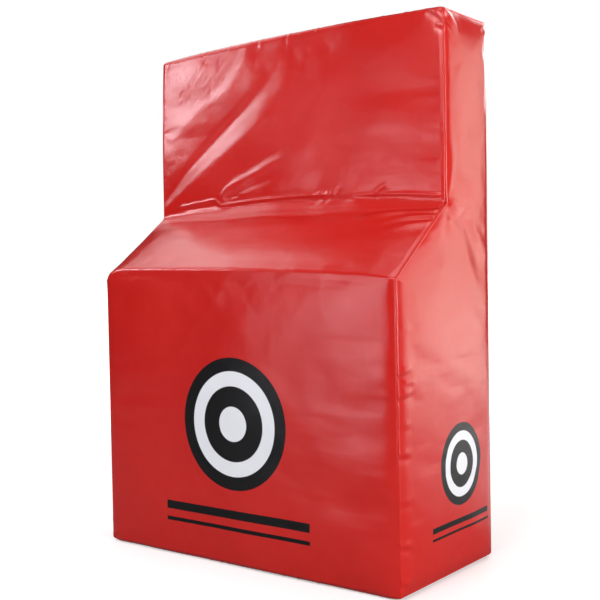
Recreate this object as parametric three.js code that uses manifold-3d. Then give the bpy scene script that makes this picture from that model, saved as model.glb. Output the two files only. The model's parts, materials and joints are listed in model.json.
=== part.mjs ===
// Stepped foam hit shield for martial arts and contact-sport drills.
//
// A block of foam in a sewn vinyl cover. The lower half of the striking side stands
// proud of the upper half, and a slope joins the two faces. The back carries two
// forearm straps, two padded hand grips, a zip and four vent eyelets.
//
// Millimetres. +Z up, -Y is the striking side, +Y the holder's side, +X to the
// right when the striking side is faced. The origin is the centre of the body's
// base, on the surface that it stands on.

import * as THREE from 'three';
import { mergeVertices } from 'three/addons/utils/BufferGeometryUtils.js';
import Module from 'manifold-3d';

const wasm = await Module();
wasm.setup();

// ---- driving dimensions ----------------------------------------------------

const HEIGHT = 800;          // body height
const WIDTH = 556;           // body width
const DEPTH = 262;           // body depth at the foot
const STEP = 135;            // how far the lower face stands proud of the upper one
const Z_FACE = 425;          // top edge of the lower striking face
const Z_STEP = 526;          // bottom edge of the upper striking face
const R_CONVEX = 10;         // bend of the cover over the top of the lower face
const R_CONCAVE = 6;         // bend of the cover at the foot of the upper face

const VINYL = 1.2;           // cover sheet
const GAP = 0.3;             // clearance between neighbouring pieces

const BACKING = 25;          // closed-cell sheet that spreads the load at the back
const ZIP_Z = 70;            // height of the zip's centre line
const ZIP_OPEN = 10;         // slit between the two back panels
const ZIP_GROOVE = [52, 88]; // relief in the backing sheet behind the zip
const ZIP_GROOVE_DEPTH = 5;

const BAND_Z = [360, 560];   // centres of the two reinforcement bands
const BAND_SIZE = [500, 64, 1.6];

const HINGE_Y = 134.3;       // plane in which the sewn straps fold
const LOOP_Z = 460;          // middle height of straps and grips
const ARM_X = 205;           // forearm straps, left and right of the centre
const ARM_WIDTH = 50;
const ARM_THICK = 2.5;
const ARM_HALF = 72;         // half the height of the strap's arch
const ARM_RISE = 62;         // how far the arch stands off
const ARM_ROOT = 14.2;       // soft root left free between sewn end and arch
const GRIP_X = 65;           // hand grips
const GRIP_WIDTH = 18;
const GRIP_THICK = 5;
const GRIP_HALF = 68;        // half the distance between the grip's legs
const GRIP_RISE = 52;
const GRIP_BEND = 20;
const GRIP_ROOT = 8.5;
const SLEEVE_R = 13.5;
const SLEEVE_LENGTH = 96;
const END_LENGTH = 56;       // sewn length at each end of a strap
const END_THICK = 2.2;

const SLIDER_X = 228;        // closed position of the zip slider
const PULL_LENGTH = 30;
const VENTS = [[-200, 740], [200, 740], [-200, 170], [200, 170]];

// ---- derived ---------------------------------------------------------------

const Y_FRONT = -DEPTH / 2;
const Y_BACK = DEPTH / 2;
const Y_UPPER = Y_FRONT + STEP;
const X_SIDE = WIDTH / 2;
const X_IN = X_SIDE - VINYL - GAP;
const Y_LINING = Y_BACK - VINYL - GAP;

// ---- helpers ---------------------------------------------------------------

const vec2 = (list) => list.map(([a, b]) => new THREE.Vector2(a, b));

// Turns a geometry inside out when its faces point inwards.
function outward(geometry) {
  const p = geometry.attributes.position;
  const index = geometry.index ? Array.from(geometry.index.array) : Array.from({ length: p.count }, (_, i) => i);
  const a = new THREE.Vector3(), b = new THREE.Vector3(), c = new THREE.Vector3();
  let volume = 0;
  for (let i = 0; i < index.length; i += 3) {
    a.fromBufferAttribute(p, index[i]);
    b.fromBufferAttribute(p, index[i + 1]);
    c.fromBufferAttribute(p, index[i + 2]);
    volume += a.dot(b.cross(c));
  }
  if (volume < 0) {
    for (let i = 0; i < index.length; i += 3) [index[i + 1], index[i + 2]] = [index[i + 2], index[i + 1]];
    geometry.setIndex(index);
  }
  return geometry;
}

// Merged copy that holds only positions.
function welded(geometry) {
  const g = geometry.clone();
  g.deleteAttribute('normal');
  g.deleteAttribute('uv');
  return mergeVertices(outward(g), 1e-4);
}

function solid(geometry) {
  const g = welded(geometry);
  return new wasm.Manifold(new wasm.Mesh({
    numProp: 3,
    vertProperties: new Float32Array(g.attributes.position.array),
    triVerts: new Uint32Array(g.index.array),
  }));
}

function unsolid(manifold) {
  const m = manifold.getMesh();
  const g = new THREE.BufferGeometry();
  g.setAttribute('position', new THREE.BufferAttribute(new Float32Array(m.vertProperties), 3));
  g.setIndex(Array.from(m.triVerts));
  g.computeVertexNormals();
  return g;
}

// A flat outline given in (first, second) row axes, pushed along the third.
const AXES = {
  x: new THREE.Matrix4().makeBasis(new THREE.Vector3(0, 1, 0), new THREE.Vector3(0, 0, 1), new THREE.Vector3(1, 0, 0)),
  y: new THREE.Matrix4().makeBasis(new THREE.Vector3(0, 0, 1), new THREE.Vector3(1, 0, 0), new THREE.Vector3(0, 1, 0)),
  z: new THREE.Matrix4(),
};

// axis 'x': outline in (y, z); axis 'y': outline in (z, x); axis 'z': outline in (x, y)
function prism(outline, axis, from, to, holes = []) {
  const shape = new THREE.Shape(vec2(outline));
  for (const hole of holes) shape.holes.push(new THREE.Path(vec2(hole)));
  const g = new THREE.ExtrudeGeometry(shape, { depth: to - from, steps: 1, bevelEnabled: false, curveSegments: 8 });
  g.translate(0, 0, from);
  g.applyMatrix4(AXES[axis]);
  return outward(g);
}

function block(x0, x1, y0, y1, z0, z1) {
  const g = new THREE.BoxGeometry(x1 - x0, y1 - y0, z1 - z0);
  g.translate((x0 + x1) / 2, (y0 + y1) / 2, (z0 + z1) / 2);
  return g;
}

const ring = (r, n, cx = 0, cy = 0) =>
  Array.from({ length: n }, (_, i) => [cx + r * Math.cos((2 * Math.PI * i) / n), cy + r * Math.sin((2 * Math.PI * i) / n)]);

const rectangle = (a0, a1, b0, b1) => [[a0, b0], [a1, b0], [a1, b1], [a0, b1]];

function roundedRectangle(a0, a1, b0, b1, r, n = 3) {
  const out = [];
  const corners = [[a1 - r, b0 + r, -90], [a1 - r, b1 - r, 0], [a0 + r, b1 - r, 90], [a0 + r, b0 + r, 180]];
  for (const [ca, cb, start] of corners) {
    for (let i = 0; i <= n; i++) {
      const t = ((start + (90 * i) / n) * Math.PI) / 180;
      out.push([ca + r * Math.cos(t), cb + r * Math.sin(t)]);
    }
  }
  return out;
}

// The striking side in section, from the foot up, moved inwards by an offset.
function strikingSide(offset) {
  const slope = new THREE.Vector2(STEP, Z_STEP - Z_FACE).normalize();
  const inFace = new THREE.Vector2(1, 0);
  const inSlope = new THREE.Vector2(slope.y, -slope.x);
  const half = Math.acos(inFace.dot(inSlope)) / 2;
  const points = [[Y_FRONT + offset, 0]];
  const turn = (corner, radius, first, last, lead, side) => {
    const tangent = radius * Math.tan(half);
    const start = new THREE.Vector2(corner[0] - lead.x * tangent, corner[1] - lead.y * tangent);
    const centre = start.clone().addScaledVector(first, side * radius);
    for (let i = 0; i <= 6; i++) {
      const n = first.clone().lerp(last, 0);
      const a0 = first.angle(), a1 = last.angle();
      let d = a1 - a0;
      if (d > Math.PI) d -= 2 * Math.PI;
      if (d < -Math.PI) d += 2 * Math.PI;
      const a = a0 + (d * i) / 6;
      n.set(Math.cos(a), Math.sin(a));
      points.push([centre.x - side * radius * n.x + offset * n.x, centre.y - side * radius * n.y + offset * n.y]);
    }
  };
  turn([Y_FRONT, Z_FACE], R_CONVEX, inFace, inSlope, new THREE.Vector2(0, 1), 1);
  turn([Y_UPPER, Z_STEP], R_CONCAVE, inSlope, inFace, slope, -1);
  points.push([Y_UPPER + offset, HEIGHT]);
  return points;
}

const root = new THREE.Group();

function add(group, name, geometry, colour, roughness, metalness = 0, place = [0, 0, 0]) {
  const material = new THREE.MeshStandardMaterial({ color: colour, roughness, metalness });
  const mesh = new THREE.Mesh(geometry, material);
  mesh.name = name;
  mesh.position.set(...place);
  group.add(mesh);
  return mesh;
}

const RED = 0xb91c18, FOAM = 0xd9cfae, FOAM_FIRM = 0x8f959c, WEB = 0x1b1b1e, STEEL = 0xb9bcc0, NICKEL = 0xc9c9c4;

// ---- cover -----------------------------------------------------------------

const cover = new THREE.Group();
root.add(cover);

const outerLine = strikingSide(0);
const innerLine = strikingSide(VINYL);
add(cover, 'front_panel', prism([...outerLine, ...innerLine.slice().reverse()], 'x', -X_IN, X_IN), RED, 0.35);
add(cover, 'top_panel', block(-X_IN, X_IN, Y_UPPER + VINYL + GAP, Y_LINING, HEIGHT - VINYL, HEIGHT), RED, 0.35);
add(cover, 'bottom_panel', block(-X_IN, X_IN, Y_FRONT + VINYL + GAP, Y_LINING, 0, VINYL), RED, 0.35);

const sideOutline = [...outerLine, [Y_BACK, HEIGHT], [Y_BACK, 0]];
add(cover, 'side_panel_left', prism(sideOutline, 'x', -X_SIDE, -X_SIDE + VINYL), RED, 0.35);
add(cover, 'side_panel_right', prism(sideOutline, 'x', X_SIDE - VINYL, X_SIDE), RED, 0.35);

const ventHoles = VENTS.map(([x, z]) => ring(5.7, 20, z, x));
add(cover, 'back_panel_upper', prism(rectangle(ZIP_Z + ZIP_OPEN / 2, HEIGHT, -X_IN, X_IN), 'y', Y_BACK - VINYL, Y_BACK, ventHoles), RED, 0.35);
add(cover, 'back_panel_lower', block(-X_IN, X_IN, Y_BACK - VINYL, Y_BACK, 0, ZIP_Z - ZIP_OPEN / 2), RED, 0.35);

// ---- core ------------------------------------------------------------------

const core = new THREE.Group();
root.add(core);

const Z_LOW = VINYL + GAP;
const Z_HIGH = HEIGHT - VINYL - GAP;
const Y_SLAB = Y_UPPER + VINYL + GAP;
const Y_SHEET = Y_LINING - BACKING;

// The wedge in front of the slab ends where the sloped lining meets the slab.
const lining = strikingSide(VINYL + GAP);
const wedge = [[Y_SLAB - GAP, Z_LOW], [lining[0][0], Z_LOW]];
for (let i = 1; i < lining.length; i++) {
  const [y, z] = lining[i];
  if (y < Y_SLAB - GAP) {
    wedge.push([y, z]);
    continue;
  }
  const [py, pz] = lining[i - 1];
  const t = (Y_SLAB - GAP - py) / (y - py);
  wedge.push([Y_SLAB - GAP, pz + t * (z - pz)]);
  break;
}
add(core, 'foam_lower_block', prism(wedge, 'x', -X_IN, X_IN), FOAM, 0.95);
add(core, 'foam_main_slab', block(-X_IN, X_IN, Y_SLAB, Y_SHEET - GAP, Z_LOW, Z_HIGH), FOAM, 0.95);

let sheet = solid(block(-X_IN, X_IN, Y_SHEET, Y_LINING, Z_LOW, Z_HIGH));
sheet = sheet.subtract(solid(block(-X_IN - 5, X_IN + 5, Y_LINING - ZIP_GROOVE_DEPTH, Y_LINING + 5, ZIP_GROOVE[0], ZIP_GROOVE[1])));
for (const [x, z] of VENTS) {
  sheet = sheet.subtract(solid(prism(ring(9.5, 16, z, x), 'y', Y_LINING - 2, Y_LINING + 5)));
}
add(core, 'foam_backing_sheet', unsolid(sheet), FOAM_FIRM, 0.9);

// ---- reinforcement bands ---------------------------------------------------

const straps = new THREE.Group();
root.add(straps);

const Y_BAND = Y_BACK + GAP;
['lower', 'upper'].forEach((which, i) => {
  const [w, h, t] = BAND_SIZE;
  add(straps, `reinforcement_band_${which}`,
    prism(roundedRectangle(BAND_Z[i] - h / 2, BAND_Z[i] + h / 2, -w / 2, w / 2, 8), 'y', Y_BAND, Y_BAND + t), WEB, 0.7);
});
const Y_END = Y_BAND + BAND_SIZE[2] + GAP;

// ---- forearm straps --------------------------------------------------------

function archOutline(half, rise, thick, rootOff, n) {
  const arc = (a, b) => {
    const first = Math.asin(rootOff / b);
    return Array.from({ length: n + 1 }, (_, i) => {
      const t = first + ((Math.PI - 2 * first) * i) / n;
      return [b * Math.sin(t), -a * Math.cos(t)];
    });
  };
  return [...arc(half + thick / 2, rise + thick / 2), ...arc(half - thick / 2, rise - thick / 2).reverse()];
}

for (const [side, sign] of [['left', -1], ['right', 1]]) {
  const g = new THREE.Group();
  g.position.set(sign * ARM_X, HINGE_Y, LOOP_Z);
  straps.add(g);
  add(g, `arm_strap_${side}`,
    prism(archOutline(ARM_HALF, ARM_RISE, ARM_THICK, ARM_ROOT, 16), 'x', -ARM_WIDTH / 2, ARM_WIDTH / 2), WEB, 0.8);
  for (const [end, up] of [['lower', -1], ['upper', 1]]) {
    const z = [up * ARM_HALF, up * (ARM_HALF + END_LENGTH)].sort((a, b) => a - b);
    add(g, `arm_strap_${side}_end_${end}`,
      block(-ARM_WIDTH / 2, ARM_WIDTH / 2, Y_END - HINGE_Y, Y_END - HINGE_Y + END_THICK, z[0], z[1]), WEB, 0.8);
  }
}

// ---- hand grips ------------------------------------------------------------

function gripOutline(off) {
  // centre line of the webbing moved by off, from the lower leg to the upper one
  const half = GRIP_HALF + off, rise = GRIP_RISE + off, r = GRIP_BEND + off;
  const out = [[GRIP_ROOT, -half]];
  for (let i = 0; i <= 6; i++) {
    const t = -Math.PI / 2 + ((Math.PI / 2) * i) / 6;
    out.push([rise - r + r * Math.cos(t), -half + r + r * Math.sin(t)]);
  }
  for (let i = 0; i <= 6; i++) {
    const t = ((Math.PI / 2) * i) / 6;
    out.push([rise - r + r * Math.cos(t), half - r + r * Math.sin(t)]);
  }
  out.push([GRIP_ROOT, half]);
  return out;
}

for (const [side, sign] of [['left', -1], ['right', 1]]) {
  const g = new THREE.Group();
  g.position.set(sign * GRIP_X, HINGE_Y, LOOP_Z);
  straps.add(g);
  add(g, `grip_strap_${side}`,
    prism([...gripOutline(GRIP_THICK / 2), ...gripOutline(-GRIP_THICK / 2).reverse()], 'x', -GRIP_WIDTH / 2, GRIP_WIDTH / 2), WEB, 0.8);
  const sx = GRIP_WIDTH / 2 + GAP, sy = GRIP_THICK / 2 + GAP;
  add(g, `grip_sleeve_${side}`,
    prism(ring(SLEEVE_R, 24), 'z', -SLEEVE_LENGTH / 2, SLEEVE_LENGTH / 2, [rectangle(-sx, sx, -sy, sy)]), WEB, 0.6, 0, [0, GRIP_RISE, 0]);
  for (const [end, up] of [['lower', -1], ['upper', 1]]) {
    const z = [up * (GRIP_HALF + 4), up * (GRIP_HALF + 4 + END_LENGTH)].sort((a, b) => a - b);
    add(g, `grip_strap_${side}_end_${end}`,
      block(-12.5, 12.5, Y_END - HINGE_Y, Y_END - HINGE_Y + END_THICK, z[0], z[1]), WEB, 0.8);
  }
}

// ---- zip -------------------------------------------------------------------

const zip = new THREE.Group();
zip.position.set(0, Y_BACK, ZIP_Z);
root.add(zip);

// Each half: a woven tape behind the back panel with a row of coil along its edge.
for (const [which, up] of [['lower', -1], ['upper', 1]]) {
  const profile = [[-2.3, 0.6], [0.2, 0.6], [0.2, 3.6], [-1.5, 3.6], [-1.5, 16.6], [-2.3, 16.6]].map(([y, z]) => [y, up * z]);
  add(zip, `zip_tape_${which}`, prism(profile, 'x', -272, 272), WEB, 0.85);
}

// Slider: two plates joined by a web in the parting line, and a crown for the pull.
const slider = new THREE.Group();
slider.position.set(SLIDER_X, 0, 0);
zip.add(slider);
let body = solid(prism(roundedRectangle(-6.5, 6.5, -11, 11, 3), 'y', 0.6, 2.2));
body = body.add(solid(prism(roundedRectangle(-6.5, 6.5, -11, 11, 3), 'y', -4.1, -2.6)));
body = body.add(solid(block(-4, 4, -3, 1, -0.3, 0.3)));
let crown = solid(prism([[-6.4, 1.8], [6.4, 1.8], [6.4, 4.6], [4.6, 6.4], [-4.6, 6.4], [-6.4, 4.6]].map(([x, y]) => [x, y]), 'z', -1.5, 1.5));
crown = crown.subtract(solid(block(-4.6, 4.6, 2.2, 5.2, -3, 3)));
body = body.add(crown);
add(slider, 'zip_slider', unsolid(body), STEEL, 0.35, 0.9);

// The pull's bar turns in the crown; the eye is long enough to clear the crown's feet.
const eye = roundedRectangle(-2.2, 2.2, -8, -0.8, 0.6, 1);
const tab = [[-4, 0.8], [4, 0.8], [4, -9], [5, -13], [5, -26], [3.5, -PULL_LENGTH], [-3.5, -PULL_LENGTH], [-5, -26], [-5, -13], [-4, -9]];
add(slider, 'zip_pull', prism(tab, 'y', -0.8, 0.8, [eye]), STEEL, 0.35, 0.9, [0, 3.6, 0]);

for (const [side, sign] of [['left', -1], ['right', 1]]) {
  add(zip, `zip_stop_${side}`, prism(roundedRectangle(-4, 4, -1.6, 1.6, 0.8, 2), 'y', 0.5, 1.4), STEEL, 0.35, 0.9, [sign * 242, 0, 0]);
  add(zip, `zip_end_patch_${side}`, prism(roundedRectangle(-19, 19, -14, 14, 4), 'y', 0.5, 1.7), RED, 0.35, 0, [sign * 260, 0, 0]);
}

// ---- vents -----------------------------------------------------------------

VENTS.forEach(([x, z], i) => {
  const g = new THREE.Group();
  g.position.set(x, Y_BACK, z);
  root.add(g);
  const barrel = vec2([[4.3, -2.9], [5.3, -2.9], [5.3, 0.3], [8, 0.3], [7.7, 1.0], [6.4, 1.5], [4.9, 1.3], [4.3, 0.6], [4.3, -2.9]]);
  add(g, `vent_eyelet_${i + 1}`, outward(new THREE.LatheGeometry(barrel, 20)), NICKEL, 0.3, 1);
  const washer = vec2([[5.7, -2.5], [8.2, -2.5], [8.2, -1.5], [5.7, -1.5], [5.7, -2.5]]);
  add(g, `vent_washer_${i + 1}`, outward(new THREE.LatheGeometry(washer, 20)), NICKEL, 0.3, 1);
});

export default root;
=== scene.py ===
import json
import math

import bmesh
import bpy
import numpy as np
from mathutils import Matrix, Vector


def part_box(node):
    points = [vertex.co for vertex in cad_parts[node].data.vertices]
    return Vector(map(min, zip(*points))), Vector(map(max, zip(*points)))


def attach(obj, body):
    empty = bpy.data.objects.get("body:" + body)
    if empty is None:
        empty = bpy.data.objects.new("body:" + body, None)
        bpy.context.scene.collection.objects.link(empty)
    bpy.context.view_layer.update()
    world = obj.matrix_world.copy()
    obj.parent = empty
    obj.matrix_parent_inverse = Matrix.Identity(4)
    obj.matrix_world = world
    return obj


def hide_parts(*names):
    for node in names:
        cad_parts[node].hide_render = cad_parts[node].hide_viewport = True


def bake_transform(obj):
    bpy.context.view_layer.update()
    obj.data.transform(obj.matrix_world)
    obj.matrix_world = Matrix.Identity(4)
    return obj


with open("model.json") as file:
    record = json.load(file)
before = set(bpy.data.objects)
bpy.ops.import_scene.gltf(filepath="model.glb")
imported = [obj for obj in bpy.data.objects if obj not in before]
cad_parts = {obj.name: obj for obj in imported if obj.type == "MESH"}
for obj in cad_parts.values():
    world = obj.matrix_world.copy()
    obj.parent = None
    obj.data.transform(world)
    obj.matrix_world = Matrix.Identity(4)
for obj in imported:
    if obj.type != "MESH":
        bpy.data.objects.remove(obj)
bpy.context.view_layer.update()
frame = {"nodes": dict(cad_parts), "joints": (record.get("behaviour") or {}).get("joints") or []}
MM = 0.001


def box_mm(node):
    lo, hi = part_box(node)
    return np.array(lo) * 1000, np.array(hi) * 1000


# ---------------------------------------------------------------- camera

AZ, EL, ROLL = (math.radians(v) for v in (37.55, 2.04, -1.08))
back = Vector((math.sin(AZ) * math.cos(EL), -math.cos(AZ) * math.cos(EL), math.sin(EL)))
right = (-back).cross(Vector((0, 0, 1))).normalized()
up = right.cross(-back)
right2 = math.cos(ROLL) * right + math.sin(ROLL) * up
up2 = -math.sin(ROLL) * right + math.cos(ROLL) * up
camera = bpy.data.objects.new("camera", bpy.data.cameras.new("camera"))
bpy.context.scene.collection.objects.link(camera)
camera.matrix_world = Matrix.Translation((0.994, -1.268, 0.447)) @ Matrix((right2, up2, back)).transposed().to_4x4()
camera.data.sensor_width = 36
camera.data.lens = 61.9
camera.data.clip_start, camera.data.clip_end = 0.05, 100
bpy.context.scene.camera = camera
bpy.context.scene.view_settings.view_transform = "Standard"
bpy.context.scene.view_settings.look = "None"

# ---------------------------------------------------------------- sizes, in millimetres

SIDE_X = box_mm("side_panel_right")[1][0]
Y_FRONT = box_mm("front_panel")[0][1]
Y_BACK = box_mm("back_panel_upper")[1][1]
HEIGHT = box_mm("front_panel")[1][2]
Y_UPPER = box_mm("top_panel")[0][1] - 1.5
Z_FACE, Z_STEP = 425.0, box_mm("foam_lower_block")[1][2] + 0.5
ZIP_LO = box_mm("back_panel_lower")[1][2]
ZIP_HI = box_mm("back_panel_upper")[0][2]

PROUD = 2.2        # how far the filled cover stands outside the foam's size
SEAM_IN = 4.2      # how far a side seam is pulled in from the side faces
SIDE_REACH = 23.0  # width over which a side face falls away to its seam
CROSS_IN = 1.2     # the same for the seams that run across the body
X_EDGE = SIDE_X + PROUD - SEAM_IN


# ---------------------------------------------------------------- the body's section
#
# The section is a closed line in (y, z): up the striking side, back over the top, down
# the back and forward under the foot. tau is the distance along its unrounded corners.

SLOPE = np.array([Y_UPPER - Y_FRONT, Z_STEP - Z_FACE])
SLOPE = SLOPE / np.linalg.norm(SLOPE)
SLOPE_OUT = np.array([-SLOPE[1], SLOPE[0]])


def section_corners():
    yf, yu, yb, zt, zb = Y_FRONT - PROUD, Y_UPPER - PROUD, Y_BACK + 0.05, HEIGHT + PROUD, 0.0
    c = np.array([Y_FRONT, Z_FACE]) @ SLOPE_OUT + PROUD
    z1 = (c - yf * SLOPE_OUT[0]) / SLOPE_OUT[1]
    z2 = (c - yu * SLOPE_OUT[0]) / SLOPE_OUT[1]
    return np.array([[yf, zb], [yf, z1], [yu, z2], [yu, zt], [yb, zt], [yb, zb]])


CORNERS = section_corners()
N_C = len(CORNERS)
LEGS = [np.linalg.norm(CORNERS[(i + 1) % N_C] - CORNERS[i]) for i in range(N_C)]
TAU_C = np.concatenate([[0], np.cumsum(LEGS)])  # tau of each corner, and the whole length last
TOTAL = TAU_C[-1]
DIRS = [(CORNERS[(i + 1) % N_C] - CORNERS[i]) / LEGS[i] for i in range(N_C)]
EDGE_RADII = [6.0, 6.0, 5.0, 6.5, 8.0, 7.0]


def section(tau, radii):
    """Points and outward normals of the section at tau, with a radius for each corner that may vary from point to point."""
    tau = np.asarray(tau, float)
    out = np.zeros(tau.shape + (2,))
    nrm = np.zeros(tau.shape + (2,))
    t = np.mod(tau, TOTAL)
    leg = np.clip(np.searchsorted(TAU_C, t, side="right") - 1, 0, N_C - 1)
    for i in range(N_C):
        m = leg == i
        d = DIRS[i]
        out[m] = CORNERS[i] + (t[m] - TAU_C[i])[:, None] * d
        nrm[m] = (-d[1], d[0])
    for i in range(N_C):
        d0, d1 = DIRS[i - 1], DIRS[i]
        turn = math.atan2(d0[0] * d1[1] - d0[1] * d1[0], d0 @ d1)  # negative where the body is convex
        r = np.broadcast_to(np.asarray(radii[i], float), tau.shape)
        reach = r * math.tan(abs(turn) / 2)
        s = t - TAU_C[i]
        s = np.where(s > TOTAL / 2, s - TOTAL, s)
        s = np.where(s < -TOTAL / 2, s + TOTAL, s)
        m = np.abs(s) < reach
        if not m.any():
            continue
        g = (s[m] + reach[m]) / (2 * reach[m])
        n0 = np.array([-d0[1], d0[0]])
        side = -1.0 if turn < 0 else 1.0  # which way the centre lies along the outward normal
        start = CORNERS[i] - reach[m][:, None] * d0
        centre = start + side * r[m][:, None] * n0
        a = turn * g
        n = np.stack([n0[0] * np.cos(a) - n0[1] * np.sin(a), n0[0] * np.sin(a) + n0[1] * np.cos(a)], -1)
        out[m] = centre - side * r[m][:, None] * n
        nrm[m] = n
    return out, nrm


def tau_on(leg, along):
    """tau at a distance along a leg, given as the row's y or z there."""
    d = DIRS[leg]
    k = 0 if abs(d[0]) > abs(d[1]) else 1
    return TAU_C[leg] + (along - CORNERS[leg][k]) / d[k]


def tau_in_corner(i, share):
    """tau inside corner i's edge rounding, from 0 at its start to 1 at its end."""
    d0, d1 = DIRS[i - 1], DIRS[i]
    turn = math.atan2(d0[0] * d1[1] - d0[1] * d1[0], d0 @ d1)
    reach = EDGE_RADII[i] * math.tan(abs(turn) / 2)
    return TAU_C[i] + (2 * share - 1) * reach


T_BOTTOM_FRONT = tau_in_corner(0, 0.22)
T_TOP_FRONT = tau_in_corner(3, 0.85)
T_TOP_BACK = tau_in_corner(4, 0.5)
T_BACK_BOTTOM = tau_in_corner(5, 0.5)
T_ZIP_HI = tau_on(4, ZIP_HI)
T_ZIP_LO = tau_on(4, ZIP_LO)


def L(x, z):
    """A place on the lower striking face."""
    return (x, tau_on(0, z))


def S(x, share):
    """A place on the slope, from 0 at its foot to 1 at its head."""
    return (x, TAU_C[1] + share * LEGS[1])


def U(x, z):
    """A place on the upper striking face."""
    return (x, tau_on(2, z))



def along_section(values):
    """A smooth function of tau through (tau, value) pairs that repeats each turn."""
    k = np.array(values, float)
    fine = np.arange(-60.0, TOTAL + 60.0, 2.0)
    v = np.interp(fine, np.concatenate([k[:, 0] - TOTAL, k[:, 0], k[:, 0] + TOTAL]), np.tile(k[:, 1], 3))
    w = np.hanning(15)
    v = np.convolve(np.pad(v, 7, mode="edge"), w / w.sum(), mode="valid")
    return lambda t: np.interp(np.mod(t, TOTAL), fine, v)


# how deep the cover is pulled in at its side seams, and over what width, round the section
seam_depth = along_section([(0, 3.8), (TAU_C[1] - 20, 4.2), (TAU_C[1] + 20, 2.6), (TAU_C[2] - 20, 2.2), (TAU_C[2] + 30, 2.8), (TAU_C[3], 3.0), (TAU_C[4], 3.6), (TAU_C[5], 3.6)])
seam_reach = along_section([(0, 24), (TAU_C[1] - 40, 27), (TAU_C[1] - 12, 18), (TAU_C[1] + 20, 8), (TAU_C[2] - 20, 6.5), (TAU_C[2] + 30, 7.5), (TAU_C[3], 9), (TAU_C[4], 16), (TAU_C[5], 16)])


def settle(p):
    """The whole filled body sags a little towards its upper left corner."""
    x, z = p[..., 0], p[..., 2]
    drop = np.interp(x, [-300, -240, -150, -50, 100, 300], [6.0, 5.0, 3.2, 1.8, 0.6, 0.0])
    p = p.copy()
    p[..., 2] = z - drop * smooth(z, 600, 800)
    q = ((x + X_EDGE) + (HEIGHT + PROUD - z)) / math.sqrt(2)
    fall = 7.0 * np.clip(1 - q / 165.0, 0, 1) ** 2
    p[..., 1] = p[..., 1] + fall * smooth(z, Z_STEP + 10, Z_STEP + 80) * (1 - smooth(p[..., 1], 10, 110))
    return p


def bead(s):
    """The rolled edge of a turned seam, at a distance s from it."""
    return 0.55 * np.exp(-((s - 1.1) / 0.75) ** 2)


# ---------------------------------------------------------------- small tools

def smooth(x, a, b):
    t = np.clip((x - a) / (b - a), 0, 1)
    return t * t * (3 - 2 * t)


def spaced(a, b, base, marks=()):
    """Positions from a to b. marks are (where, half width, step): the step shrinks to that one near where."""
    out = [a]
    while out[-1] < b:
        s = base
        for where, half, step in marks:
            d = abs(out[-1] - where) / half
            if d < 1:
                s = min(s, step + (base - step) * d ** 1.5)
        out.append(out[-1] + s)
    out = np.array(out)
    return a + (out - a) * (b - a) / (out[-1] - a)


def curve_through(points, n=10):
    """A smooth line through points, as short steps."""
    p = np.array(points, float)
    if len(p) < 3:
        return p
    q = np.vstack([2 * p[0] - p[1], p, 2 * p[-1] - p[-2]])
    out = []
    for i in range(1, len(q) - 2):
        for k in range(n):
            t = k / n
            a, b, c, d = q[i - 1], q[i], q[i + 1], q[i + 2]
            out.append(0.5 * (2 * b + (c - a) * t + (2 * a - 5 * b + 4 * c - d) * t * t + (3 * b - a - 3 * c + d) * t ** 3))
    out.append(q[-2])
    return np.array(out)


def fold_height(a, b, fold):
    """Height of one fold at surface places (a, b)."""
    line = curve_through(fold["pts"], 6)
    w0, w1 = fold["w"]
    kind, amp = fold.get("kind", "ridge"), fold["amp"]
    rise, fall = fold.get("ends", (0.15, 0.4))
    reach = 4.5 * max(w0, w1)
    h = np.zeros(a.shape)
    m = (a > line[:, 0].min() - reach) & (a < line[:, 0].max() + reach) & (b > line[:, 1].min() - reach) & (b < line[:, 1].max() + reach)
    if not m.any():
        return h
    p = np.stack([a[m], b[m]], -1)
    seg = line[1:] - line[:-1]
    length = np.linalg.norm(seg, axis=1)
    start = np.concatenate([[0], np.cumsum(length)])
    best = np.full(len(p), 1e9)
    u = np.zeros(len(p))
    sd = np.zeros(len(p))
    for i in range(len(seg)):
        if length[i] < 1e-9:
            continue
        rel = p - line[i]
        k = np.clip((rel @ seg[i]) / length[i] ** 2, 0, 1)
        off = rel - k[:, None] * seg[i]
        d = np.hypot(off[:, 0], off[:, 1])
        closer = d < best
        best = np.where(closer, d, best)
        cross = (seg[i][0] * rel[:, 1] - seg[i][1] * rel[:, 0]) / length[i]
        sd = np.where(closer, np.where(cross < 0, -d, d), sd)
        u = np.where(closer, (start[i] + k * length[i]) / start[-1], u)
    w = w0 + (w1 - w0) * u
    x = sd / w
    if fold.get("grow"):
        amp = amp * w / max(w0, w1)
    if kind == "ridge":
        f = np.exp(-x * x)
    elif kind == "sharp":
        f = np.exp(-np.sqrt(x * x + 0.02) + 0.1414)
    elif kind == "pair":
        f = x * np.exp(0.5 - x * x / 2)
    elif kind == "lip":      # steep on the right of the line, gentle on its left
        f = np.where(x > 0, np.exp(-x), np.exp(-(x / 0.35) ** 2))
    elif kind == "lipr":
        f = np.where(x < 0, np.exp(x), np.exp(-(x / 0.35) ** 2))
    elif kind == "bank":     # a slope that rises to the right of the line and eases off slowly beyond it
        f = np.where(x < 0, np.exp(-(x / 0.9) ** 2), np.exp(-(x / 2.6) ** 2))
    elif kind == "bankl":
        f = np.where(x > 0, np.exp(-(x / 0.9) ** 2), np.exp(-(x / 2.6) ** 2))
    taper = smooth(u, 0, rise) if rise > 0 else 1.0
    if fall > 0:
        taper = taper * (1 - smooth(u, 1 - fall, 1))
    h[m] = amp * f * taper
    return h


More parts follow.
